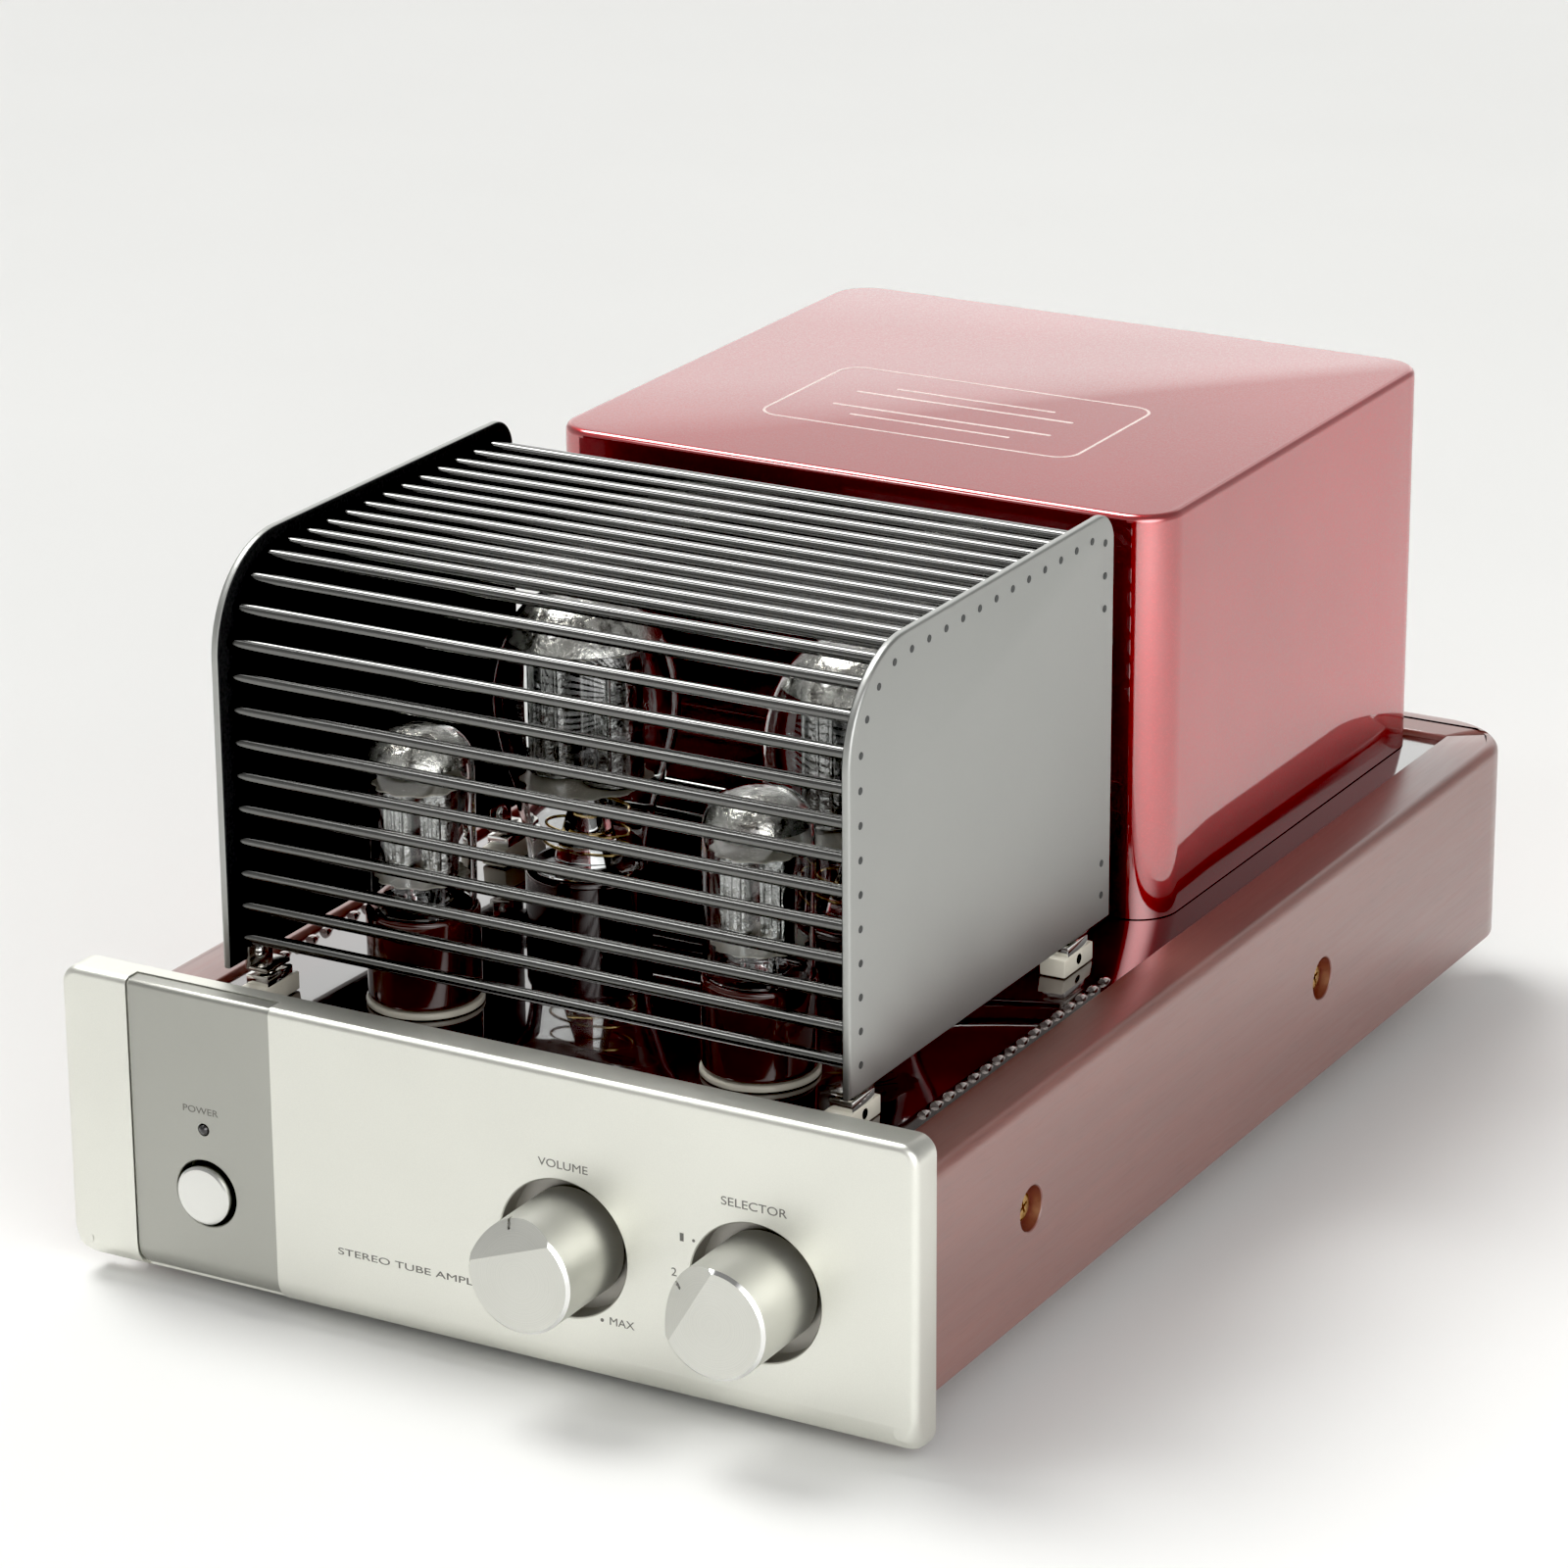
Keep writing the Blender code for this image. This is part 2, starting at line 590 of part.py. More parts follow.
# ---------------------------------------------------------------- tubes
def dome(radius, top, height, steps=4):
    """Quarter ellipse from the crown at (0, top) down to (radius, top - height)."""
    turns = [math.pi / 2 * i / steps for i in range(steps + 1)]
    return [(radius * math.sin(t), top - height * (1 - math.cos(t))) for t in turns]


def driver_tube(prefix, x, y, glass, bakelite, metal, ceramic):
    floor = CHASSIS_TOP + GAP
    seat = floor + 0.0020
    profile = [
        (0.0187, seat), (0.0187, floor), (0.0138, floor), (0.0138, floor - 0.012), (0.0046, floor - 0.012),
        (0.0046, seat),
    ]
    smooth(turned(prefix + "_socket", profile, ceramic, (x, y, 0), steps=18))
    foot_z = seat + GAP
    rim = 0.1175
    profile = [
        (0, rim - 0.002), (0.0168, rim - 0.002), (0.0168, rim), (0.0180, rim - 0.0012), (0.0180, foot_z),
        (0.0040, foot_z), (0.0040, foot_z - 0.011), (0, foot_z - 0.011),
    ]
    smooth(turned(prefix + "_base", profile, bakelite, (x, y, 0), steps=18))
    outside = dome(0.0172, 0.1770, 0.0140) + [(0.0172, rim + 0.004), (0.0165, rim + GAP)]
    inside = [(0.0154, rim + GAP)] + [(r, z) for r, z in reversed(dome(0.0160, 0.1758, 0.0130))]
    smooth(turned(prefix + "_glass", outside + inside, glass, (x, y, 0), steps=18))
    shell = box_mesh((x - 0.0115, y - 0.0060, 0.125), (x + 0.0115, y + 0.0060, 0.156))
    plates = add(prefix + "_plates", shell, metal)
    join(plates, rods_mesh([((x, y, 0.1250), 0.0010), ((x, y, 0.1560), 0.0010)], 0.0148, 16, "Z"), "micas")
    join(plates, rod_mesh((x, y, 0.1213), 0.0080, 0.0050, 12), "stem")


def output_tube(prefix, x, y, glass, base, metal, ceramic):
    floor = 0.0490
    profile = [
        (0.0290, floor), (0.0290, floor - 0.004), (0.0200, floor - 0.004), (0.0200, floor - 0.014),
        (0.0046, floor - 0.014), (0.0046, floor),
    ]
    smooth(turned(prefix + "_socket", profile, ceramic, (x, y, 0), steps=18))
    rim = 0.1060
    profile = [
        (0, rim - 0.002), (0.0180, rim - 0.002), (0.0180, rim), (0.0205, rim - 0.0012),
        (0.0205, floor + GAP), (0.0040, floor + GAP), (0.0040, floor - 0.010), (0, floor - 0.010),
    ]
    smooth(turned(prefix + "_base", profile, base, (x, y, 0), steps=18))
    crown = [(0, 0.1990), (0.0100, 0.1978), (0.0170, 0.1945), (0.0222, 0.1890), (0.0262, 0.1820)]
    belly = [(0.0293, 0.1735), (0.0308, 0.1645), (0.0304, 0.1555), (0.0284, 0.1455), (0.0250, 0.1340)]
    neck = [(0.0218, 0.1230), (0.0200, 0.1140), (0.0195, rim + GAP)]
    outside = crown + belly + neck
    lining = [(max(r - 0.0013, 0), z - 0.0010) for r, z in crown]
    lining += [(r - 0.0013, z) for r, z in belly + neck]
    smooth(turned(prefix + "_glass", outside + lining[::-1], glass, (x, y, 0), steps=22))
    shell = box_mesh((x - 0.0185, y - 0.0100, 0.136), (x + 0.0185, y + 0.0100, 0.180))
    plates = add(prefix + "_plates", shell, metal)
    join(plates, rods_mesh([((x, y, 0.1360), 0.0010), ((x, y, 0.1800), 0.0010)], 0.0212, 18, "Z"), "micas")
    join(plates, rod_mesh((x, y, 0.1216), 0.0302, 0.0060, 12), "stem")


# ---------------------------------------------------------------- rear connections and wiring
INLET_X = 0.090
INLET_Z = 0.040
FUSE_X = 0.060
POST_XS = (-0.004, 0.010, -0.046, -0.032)
POST_Z = 0.040
JACK_XS = (-0.102, -0.088, -0.074)
JACK_ZS = (0.031, 0.049)


def mains_inlet(finish):
    rear = back(CHASSIS_REAR)
    x, z = INLET_X, INLET_Z
    flange = rounded_rectangle((x - 0.020, z - 0.0135), (x + 0.020, z + 0.0135), 0.003, 3)
    inlet = add("mains_inlet", slab_mesh(flange, rear + GAP, rear + 0.0035, "XZ"), finish)
    body = box_mesh((x - 0.0133, rear - 0.022, z - 0.0098), (x + 0.0133, rear + 0.002, z + 0.0098))
    join(inlet, body, "body")
    mouth = box_mesh((x - 0.0118, rear - 0.018, z - 0.0082), (x + 0.0118, rear + 0.01, z + 0.0082))
    cut(inlet, mouth, "mouth")
    pins = []
    for shift, lift in ((-0.007, -0.002), (0, 0.002), (0.007, -0.002)):
        low = (x + shift - 0.001, rear - 0.0195, z + lift - 0.002)
        pins.append((low, (x + shift + 0.001, rear - 0.003, z + lift + 0.002)))
    join(inlet, boxes_mesh(pins), "pins")


def fuse(plastic):
    rear = back(CHASSIS_REAR)
    turn = Matrix.Rotation(-math.pi / 2, 4, "X")
    profile = [
        (0.0082, 0.0030), (0.0082, GAP), (0.0060, GAP), (0.0060, -0.030), (0.0045, -0.030), (0.0045, 0.0030),
    ]
    holder = turned("fuse_holder", profile, plastic, (0, 0, 0), steps=20)
    holder.matrix_world = Matrix.Translation((FUSE_X, rear, INLET_Z)) @ turn
    smooth(holder)
    profile = [
        (0, 0.0110), (0.0058, 0.0110), (0.0065, 0.0103), (0.0065, 0.0033), (0.0040, 0.0033),
        (0.0040, -0.020), (0, -0.020),
    ]
    cap = turned("fuse_cap", profile, plastic, (0, 0, 0), steps=20)
    cap.matrix_world = Matrix.Translation((FUSE_X, rear, INLET_Z)) @ turn
    low = (FUSE_X - 0.0045, rear + 0.0098, INLET_Z - 0.0006)
    cut(cap, box_mesh(low, (FUSE_X + 0.0045, rear + 0.0125, INLET_Z + 0.0006)), "slot")
    smooth(cap)


def input_jacks(finish):
    rear = back(CHASSIS_REAR)
    low = (min(JACK_XS) - 0.009, min(JACK_ZS) - 0.009)
    high = (max(JACK_XS) + 0.009, max(JACK_ZS) + 0.009)
    plate = slab_mesh(rounded_rectangle(low, high, 0.003, 3), rear + GAP, rear + 0.0023, "XZ")
    jacks = add("input_jacks", plate, finish)
    spots = [((x, rear + 0.0068, z), 0.011) for x in JACK_XS for z in JACK_ZS]
    join(jacks, rods_mesh(spots, 0.0042, 12, "Y"), "barrels")
    mouths = [((x, rear + 0.0110, z), 0.008) for x in JACK_XS for z in JACK_ZS]
    cut(jacks, rods_mesh(mouths, 0.0016, 6, "Y"), "mouths")


def speaker_terminals(plastic, metal, red, black):
    rear = back(CHASSIS_REAR)
    low, high = (min(POST_XS) - 0.010, POST_Z - 0.012), (max(POST_XS) + 0.010, POST_Z + 0.012)
    plate = slab_mesh(rounded_rectangle(low, high, 0.003, 3), rear + GAP, rear + 0.0028, "XZ")
    block = add("terminal_block", plate, plastic)
    studs = [((x, rear + 0.0085, POST_Z), 0.014) for x in POST_XS]
    join(block, rods_mesh(studs, 0.0024, 12, "Y"), "studs")
    for count, x in enumerate(POST_XS):
        profile = [
            (0.0056, 0.0190), (0.0062, 0.0184), (0.0062, 0.0070), (0.0050, 0.0064), (0.0050, 0.0032),
            (0.0027, 0.0032), (0.0027, 0.0170), (0.0012, 0.0170), (0.0012, 0.0190),
        ]
        finish = red if count % 2 == 0 else black
        cap = turned("terminal_cap_%d" % (count + 1), profile, finish, (0, 0, 0), steps=14)
        cap.matrix_world = Matrix.Translation((x, rear, POST_Z)) @ Matrix.Rotation(-math.pi / 2, 4, "X")
        smooth(cap)


def circuit_board(board):
    low = (-0.085, back(0.245), 0.028)
    high = (0.085, back(0.400), 0.0296)
    piece = add("circuit_board", box_mesh(low, high), board)
    spots = [((x, back(y), 0.0460), 0.0340) for x, y in ((-0.05, 0.28), (0.0, 0.28), (0.05, 0.28))]
    join(piece, rods_mesh(spots, 0.0150, 20, "Z"), "capacitors")


def build():
    global PARTS, CUTTERS
    for leftover in list(bpy.data.objects):
        bpy.data.objects.remove(leftover)
    PARTS = bpy.data.collections.new("tube_amplifier")
    CUTTERS = bpy.data.collections.new("cutters")
    for made in (PARTS, CUTTERS):
        bpy.context.scene.collection.children.link(made)

    silver = material("satin_silver", (0.80, 0.80, 0.76), 0.35, 0.9)
    grey = material("grey_inlay", (0.42, 0.42, 0.40), 0.45, 0.4)
    polished = material("polished_silver", (0.88, 0.88, 0.86), 0.12, 1.0)
    lamp = material("dark_lamp", (0.05, 0.05, 0.06), 0.2)
    plastic = material("black_plastic", (0.03, 0.03, 0.03), 0.4)
    paint = material("wine_red_paint", (0.06, 0.004, 0.008), 0.06)
    wood = material("lacquered_mahogany", (0.20, 0.05, 0.03), 0.15)
    candy = material("metallic_red", (0.48, 0.02, 0.03), 0.2, 0.5)
    gunmetal = material("gunmetal", (0.10, 0.10, 0.10), 0.35, 0.6)
    glass = material("clear_glass", (0.9, 0.9, 0.9), 0.02, 0.0, 0.3)
    bakelite = material("brown_bakelite", (0.10, 0.02, 0.01), 0.2)
    plates = material("grey_plates", (0.35, 0.35, 0.34), 0.4, 0.8)
    ceramic = material("cream_ceramic", (0.80, 0.76, 0.66), 0.3)
    brass = material("brass", (0.70, 0.50, 0.22), 0.25, 1.0)
    rubber = material("rubber", (0.03, 0.03, 0.03), 0.8)
    steel = material("plated_steel", (0.6, 0.6, 0.6), 0.35, 1.0)
    core = material("lamination_black", (0.05, 0.05, 0.05), 0.5, 0.3)
    board = material("circuit_green", (0.03, 0.15, 0.06), 0.4)
    red = material("red_plastic", (0.5, 0.02, 0.02), 0.3)

    front_panel(silver)
    panel_inlay(grey)
    power_controls(polished, lamp, plastic)
    knob("volume_knob", VOLUME_X, VOLUME_POINTER, silver)
    knob("selector_knob", SELECTOR_X, SELECTOR_POINTER, silver)
    shaft("volume_shaft", VOLUME_X, steel)
    shaft("selector_shaft", SELECTOR_X, steel)
    rotary_body("volume_pot", VOLUME_X, 0.0120, 0.022, steel)
    rotary_body("selector_switch", SELECTOR_X, 0.0150, 0.026, plastic)

    chassis(paint)
    rear_plate(paint)
    bottom_cover(steel)
    for side, word in ((-1, "left"), (1, "right")):
        side_board("side_board_" + word, side, wood)
        for count, distance in enumerate(BOARD_SCREWS):
            side_screw("board_screw_%s_%d" % (word, count + 1), side, back(distance), brass)
        for count, distance in enumerate(FOOT_YS):
            foot("foot_%s_%d" % (word, count + 1), side * FOOT_X, back(distance), rubber)
        for count, distance in enumerate(CAGE_FEET):
            cage_socket("cage_socket_%s_%d" % (word, count + 1), side, back(distance), ceramic)
        driver_tube("driver_" + word, side * DRIVER_X, back(DRIVER_Y), glass, bakelite, plates, ceramic)
        output_tube("output_" + word, side * OUTPUT_X, back(OUTPUT_Y), glass, plastic, plates, ceramic)
    rear_rail(wood)
    transformer_cover(candy)
    transformer("power_transformer", (0, back(0.385)), (0.100, 0.080, 0.105), core)
    transformer("output_transformer_left", (-0.062, back(0.288)), (0.080, 0.080, 0.090), core)
    transformer("output_transformer_right", (0.062, back(0.288)), (0.080, 0.080, 0.090), core)
    tube_cage(gunmetal)

    mains_inlet(plastic)
    fuse(plastic)
    input_jacks(brass)
    speaker_terminals(plastic, brass, red, plastic)
    circuit_board(board)


build()
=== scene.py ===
"""Looks of the tube amplifier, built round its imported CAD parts.

Pieces are modelled in the row frame (metres, +Y to the rear, +Z up) and ride on the CAD bodies.
"""

import math

import bmesh
import bpy
from mathutils import Matrix, Vector

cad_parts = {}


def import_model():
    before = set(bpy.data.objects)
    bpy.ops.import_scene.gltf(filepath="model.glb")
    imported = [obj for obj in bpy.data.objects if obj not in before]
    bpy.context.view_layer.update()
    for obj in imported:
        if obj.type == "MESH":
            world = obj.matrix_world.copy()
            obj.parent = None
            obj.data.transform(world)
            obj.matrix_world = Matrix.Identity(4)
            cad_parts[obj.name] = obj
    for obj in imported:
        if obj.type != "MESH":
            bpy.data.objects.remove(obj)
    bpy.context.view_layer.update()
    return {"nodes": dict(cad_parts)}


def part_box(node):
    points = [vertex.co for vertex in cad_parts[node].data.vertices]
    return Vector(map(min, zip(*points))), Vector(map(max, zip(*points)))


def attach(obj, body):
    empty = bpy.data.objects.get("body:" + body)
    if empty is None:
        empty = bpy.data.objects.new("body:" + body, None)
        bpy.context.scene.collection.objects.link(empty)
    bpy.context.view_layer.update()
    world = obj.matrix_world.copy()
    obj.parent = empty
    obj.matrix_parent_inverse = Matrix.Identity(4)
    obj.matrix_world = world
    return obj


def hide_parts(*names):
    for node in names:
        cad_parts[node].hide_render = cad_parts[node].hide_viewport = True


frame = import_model()

# ---------------------------------------------------------------- places taken from the CAD
PANEL_LOW, PANEL_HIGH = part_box("front_panel")
FACE = PANEL_LOW.y
CHASSIS_LOW, CHASSIS_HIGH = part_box("chassis")
COVER_LOW, COVER_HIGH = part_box("transformer_cover")
CAGE_LOW, CAGE_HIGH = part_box("tube_cage")
DECK = CHASSIS_HIGH.z
REAR = CHASSIS_HIGH.y


def centre(node):
    low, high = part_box(node)
    return (low + high) / 2


def behind(distance):
    """World y of a point this far behind the panel's face."""
    return FACE + distance


def knob_axis(name):
    """World x and z of a knob's axis."""
    low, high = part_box(name + "_shaft")
    return (low.x + high.x) / 2, (low.z + high.z) / 2


KNOB_AXIS = {name: knob_axis(name) for name in ("volume", "selector")}


# ---------------------------------------------------------------- mesh helpers
TINY = 1e-9  # metres: anything nearer the axis, or shorter, counts as nothing
CURVE_ANGLE = 38  # edges sharper than this many degrees stay crisp
CORNER_STEPS = 3  # faces round a softened corner of a lathe profile
SIDES = (("left", -1), ("right", 1))
PLANES = {
    "TOP": Matrix.Identity(4),
    "FRONT": Matrix.Rotation(math.pi / 2, 4, "X"),
    "REAR": Matrix.Rotation(math.pi, 4, "Z") @ Matrix.Rotation(math.pi / 2, 4, "X"),
    "RIGHT": Matrix.Rotation(math.pi / 2, 4, "Z") @ Matrix.Rotation(math.pi / 2, 4, "X"),
    "LEFT": Matrix.Rotation(-math.pi / 2, 4, "Z") @ Matrix.Rotation(math.pi / 2, 4, "X"),
}


def facing(direction, spot=(0, 0, 0)):
    """Local +Z turned to a side of the amplifier, with the origin at spot."""
    return Matrix.Translation(Vector(spot)) @ PLANES[direction]


def placed(name, data):
    """A new object in the scene."""
    made = bpy.data.objects.new(name, data)
    bpy.context.scene.collection.objects.link(made)
    return made


def piece(name, bm, finish, body="amplifier", slot=None, replaces=(), angle=CURVE_ANGLE, place=None):
    """A finished mesh that rides on a CAD body."""
    bmesh.ops.remove_doubles(bm, verts=bm.verts, dist=1e-7)
    bmesh.ops.dissolve_degenerate(bm, dist=1e-7, edges=bm.edges)
    bmesh.ops.recalc_face_normals(bm, faces=bm.faces)
    if place is not None:
        bm.transform(place)
    mesh = bpy.data.meshes.new(name)
    bm.to_mesh(mesh)
    bm.free()
    mesh.materials.append(finish)
    mesh.shade_smooth()
    mesh.set_sharp_from_angle(angle=math.radians(angle))
    made = placed(name, mesh)
    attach(made, body)
    if replaces:
        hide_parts(*replaces)
    return made


def full_turn(steps):
    """The angles of an even division of a circle."""
    return [2 * math.pi * k / steps for k in range(steps)]


def arc(middle, radius, start, end, steps):
    """Points from one angle to another, in degrees."""
    turns = [math.radians(start + (end - start) * i / steps) for i in range(steps + 1)]
    return [(middle[0] + radius * math.cos(t), middle[1] + radius * math.sin(t)) for t in turns]


def rounded(low, high, radius, steps=8):
    """Outline of a rectangle with rounded corners, counter-clockwise."""
    (x0, y0), (x1, y1) = low, high
    left, right, front, rear = x0 + radius, x1 - radius, y0 + radius, y1 - radius
    spots = ((right, front), (right, rear), (left, rear), (left, front))
    points = []
    for spot, start in zip(spots, (-90, 0, 90, 180)):
        points += arc(spot, radius, start, start + 90, steps)
    return points


def skin(bm, rings, closed_start=True):
    """Faces between rings of the same count, with a cap at the end, and at the start where asked."""
    loops = [[bm.verts.new(p) for p in ring] for ring in rings]
    count = len(loops[0])
    for first, second in zip(loops, loops[1:]):
        for i in range(count):
            j = (i + 1) % count
            bm.faces.new((first[i], first[j], second[j], second[i]))
    if closed_start:
        bm.faces.new(loops[0][::-1])
    bm.faces.new(loops[-1])


def inward(outline):
    """For each corner of a counter-clockwise outline, the step inwards that keeps its edges parallel."""
    steps = []
    count = len(outline)
    for i in range(count):
        here = Vector(outline[i])
        a, b = here - Vector(outline[i - 1]), Vector(outline[(i + 1) % count]) - here
        if a.length < TINY:
            a = b
        if b.length < TINY:
            b = a
        a.normalize()
        b.normalize()
        na, nb = Vector((-a.y, a.x)), Vector((-b.y, b.x))
        steps.append((na + nb) / max(1 + na.dot(nb), 0.35))
    return steps


def per_point(value, outline):
    return [value(p) if callable(value) else value for p in outline]


def slab(outline, low, high, top=0.0004, bottom=0.0004, steps=3, open_bottom=False):
    """An outline raised from low to high, with its upper and lower edges rounded."""
    moves = inward(outline)
    turns = [math.pi / 2 * i / steps for i in range(steps + 1)]
    rings = []
    if open_bottom:
        rings.append([(x, y, low) for x, y in outline])
    else:
        radii = per_point(bottom, outline)
        for inset, rise in ((1 - math.sin(t), 1 - math.cos(t)) for t in turns):
            rings.append([(x + m.x * r * inset, y + m.y * r * inset, low + r * rise)
                          for (x, y), m, r in zip(outline, moves, radii)])
    radii = per_point(top, outline)
    for inset, drop in ((1 - math.cos(t), 1 - math.sin(t)) for t in turns):
        rings.append([(x + m.x * r * inset, y + m.y * r * inset, high - r * drop)
                      for (x, y), m, r in zip(outline, moves, radii)])
    bm = bmesh.new()
    skin(bm, rings, closed_start=not open_bottom)
    return bm


def lathe(profile, steps=48, place=Matrix.Identity(4), wave=None):
    """Turns a closed (radius, height) profile about local Z; wave(radius, turn) may reshape its radii."""
    bm = bmesh.new()
    loops = []
    for t in full_turn(steps):
        ring = [(wave(r, t) if wave else r, h) for r, h in profile]
        loops.append([bm.verts.new(place @ Vector((r * math.cos(t), r * math.sin(t), h))) for r, h in ring])
    closed = profile[0][0] > TINY and profile[-1][0] > TINY
    for k in range(steps):
        first, second = loops[k], loops[(k + 1) % steps]
        for i in range(len(profile) - (0 if closed else 1)):
            j = (i + 1) % len(profile)
            corners = [first[i], second[i], second[j], first[j]]
            if profile[i][0] < TINY:
                corners.remove(second[i])
            if profile[j][0] < TINY:
                corners.remove(second[j])
            bm.faces.new(corners)
    return bm


def soften(profile, radius):
    """Rounds the corners of a lathe profile that lie off the axis."""
    points = []
    for i, here in enumerate(profile):
        here = Vector(here)
        if here.x < TINY or i in (0, len(profile) - 1):
            points.append(tuple(here))
            continue
        before, after = Vector(profile[i - 1]), Vector(profile[i + 1])
        reach = min(radius, (here - before).length * 0.45, (after - here).length * 0.45)
        start = here + (before - here).normalized() * reach
        end = here + (after - here).normalized() * reach
        for t in (k / CORNER_STEPS for k in range(CORNER_STEPS + 1)):
            points.append(tuple(start.lerp(here, t).lerp(here.lerp(end, t), t)))
    return points


def tube(bm, path, radius, sides=10):
    """A round bar along a path of points."""
    points = [Vector(p) for p in path]
    rings = []
    side = None
    for i, here in enumerate(points):
        along = (points[min(i + 1, len(points) - 1)] - points[max(i - 1, 0)]).normalized()
        if side is None:
            side = along.orthogonal().normalized()
        side = (side - along * side.dot(along)).normalized()
        up = along.cross(side)
        rings.append([here + (side * math.cos(t) + up * math.sin(t)) * radius for t in full_turn(sides)])
    skin(bm, rings)
    return bm


def block(bm, low, high, edge, place=None):
    """A box with rounded edges."""
    made = bmesh.ops.create_cube(bm, size=1.0)["verts"]
    size = Vector(high) - Vector(low)
    matrix = Matrix.Translation((Vector(high) + Vector(low)) / 2) @ Matrix.Diagonal((*size, 1))
    bmesh.ops.transform(bm, matrix=matrix, verts=made)
    if edge:
        edges = list({e for v in made for e in v.link_edges})
        result = bmesh.ops.bevel(bm, geom=edges, offset=edge, offset_type="OFFSET", segments=2,
                                 profile=0.5, affect="EDGES")
        made = list({v for f in result["faces"] for v in f.verts} | {v for v in made if v.is_valid})
    if place is not None:
        bmesh.ops.transform(bm, matrix=place, verts=made)
    return bm


def cutter(bm):
    bmesh.ops.recalc_face_normals(bm, faces=bm.faces)
    mesh = bpy.data.meshes.new("cutter")
    bm.to_mesh(mesh)
    bm.free()
    return placed("cutter", mesh)


def carve(target, bodies, angle=CURVE_ANGLE):
    """Cuts the given solids out of a piece."""
    tools = [cutter(bm) for bm in bodies]
    for made in tools:
        change = target.modifiers.new("cut", "BOOLEAN")
        change.operation = "DIFFERENCE"
        change.object = made
        change.solver = "EXACT"
    bpy.context.view_layer.update()
    graph = bpy.context.evaluated_depsgraph_get()
    mesh = bpy.data.meshes.new_from_object(target.evaluated_get(graph))
    target.modifiers.clear()
    target.data = mesh
    for made in tools:
        bpy.data.objects.remove(made)
    mesh.shade_smooth()
    mesh.set_sharp_from_angle(angle=math.radians(angle))
    return target


def flat_shape(name, outlines, thickness, finish, place):
    """Thin printed or inlaid shape from closed outlines; an outline inside another is a hole."""
    curve = bpy.data.curves.new(name, "CURVE")
    curve.dimensions = "2D"
    curve.fill_mode = "BOTH"
    curve.extrude = thickness / 2
    for points in outlines:
        spline = curve.splines.new("POLY")
        spline.points.add(len(points) - 1)
        for spot, (x, y) in zip(spline.points, points):
            spot.co = (x, y, 0, 1)
        spline.use_cyclic_u = True
    return curve_piece(name, curve, finish, place)


def lettering(name, words, height, width, place):
    """Generic printed words, scaled to a height and a width, centred on place."""
    curve = bpy.data.curves.new(name, "FONT")
    curve.body = words
    curve.align_x = "CENTER"
    curve.align_y = "CENTER"
    curve.size = 0.01
    curve.extrude = PRINT_THICKNESS / 2
    holder = placed(name + "_size", curve)
    bpy.context.view_layer.update()
    size = holder.dimensions.copy()
    bpy.data.objects.remove(holder)
    stretch = Matrix.Diagonal((width / size.x, height / size.y, 1, 1))
    return curve_piece(name, curve, PRINT, place @ stretch)


def curve_piece(name, curve, finish, place):
    """A filled curve turned into a mesh piece."""
    holder = placed(name + "_outline", curve)
    bpy.context.view_layer.update()
    graph = bpy.context.evaluated_depsgraph_get()
    mesh = bpy.data.meshes.new_from_object(holder.evaluated_get(graph))
    bm = bmesh.new()
    bm.from_mesh(mesh)
    bpy.data.objects.remove(holder)
    return piece(name, bm, finish, place=place)


# ---------------------------------------------------------------- materials
class Finish:
    """A Principled material with helpers for its procedural nodes."""

    def __init__(self, name, **values):
        self.material = bpy.data.materials.new(name)
        self.material.use_nodes = True
        self.tree = self.material.node_tree
        self.shader = self.tree.nodes["Principled BSDF"]
        for key, value in values.items():
            self.shader.inputs[key.replace("_", " ")].default_value = value
        self.spots = self.tree.nodes.new("ShaderNodeTexCoord").outputs["Object"]

    def node(self, kind, inputs=None, **settings):
        made = self.tree.nodes.new("ShaderNode" + kind)
        for key, value in settings.items():
            setattr(made, key, value)
        for key, value in (inputs or {}).items():
            if isinstance(value, bpy.types.NodeSocket):
                self.tree.links.new(value, made.inputs[key])
            else:
                made.inputs[key].default_value = value
        return made

    def stretched(self, scale):
        return self.node("Mapping", {"Vector": self.spots, "Scale": scale}).outputs["Vector"]

    def noise(self, scale, detail=3.0, rough=0.5, vector=None, distortion=0.0):
        return self.node("TexNoise", {"Vector": vector or self.spots, "Scale": scale, "Detail": detail,
                                      "Roughness": rough, "Distortion": distortion}).outputs["Fac"]

    def ramp(self, factor, stops):
        made = self.node("ValToRGB", {"Fac": factor})
        elements = made.color_ramp.elements
        while len(elements) < len(stops):
            elements.new(0.5)
        for element, (position, colour) in zip(elements, stops):
            element.position = position
            element.color = (*colour, 1) if len(colour) == 3 else colour
        return made.outputs["Color"]

    def span(self, value, low, high, start=0.0, end=1.0):
        inputs = {"Value": value, "From Min": start, "From Max": end, "To Min": low, "To Max": high}
        return self.node("MapRange", inputs).outputs["Result"]

    def mix(self, factor, first, second, blend="MIX"):
        """Mixes two colours; sockets 6 and 7 are the colour inputs, and 2 is the colour output."""
        colours = [(*c, 1) if isinstance(c, tuple) else c for c in (first, second)]
        inputs = {0: factor, 6: colours[0], 7: colours[1]}
        return self.node("Mix", inputs, data_type="RGBA", blend_type=blend).outputs[2]

    def maths(self, operation, first, second):
        return self.node("Math", {0: first, 1: second}, operation=operation).outputs["Value"]

    def drive(self, **links):
        for key, socket in links.items():
            self.tree.links.new(socket, self.shader.inputs[key.replace("_", " ")])

    def bump(self, height, distance):
        made = self.node("Bump", {"Height": height, "Distance": distance, "Strength": 1.0})
        self.drive(Normal=made.outputs["Normal"])


def scaled(colour, factor):
    return tuple(min(c * factor, 1) for c in colour)


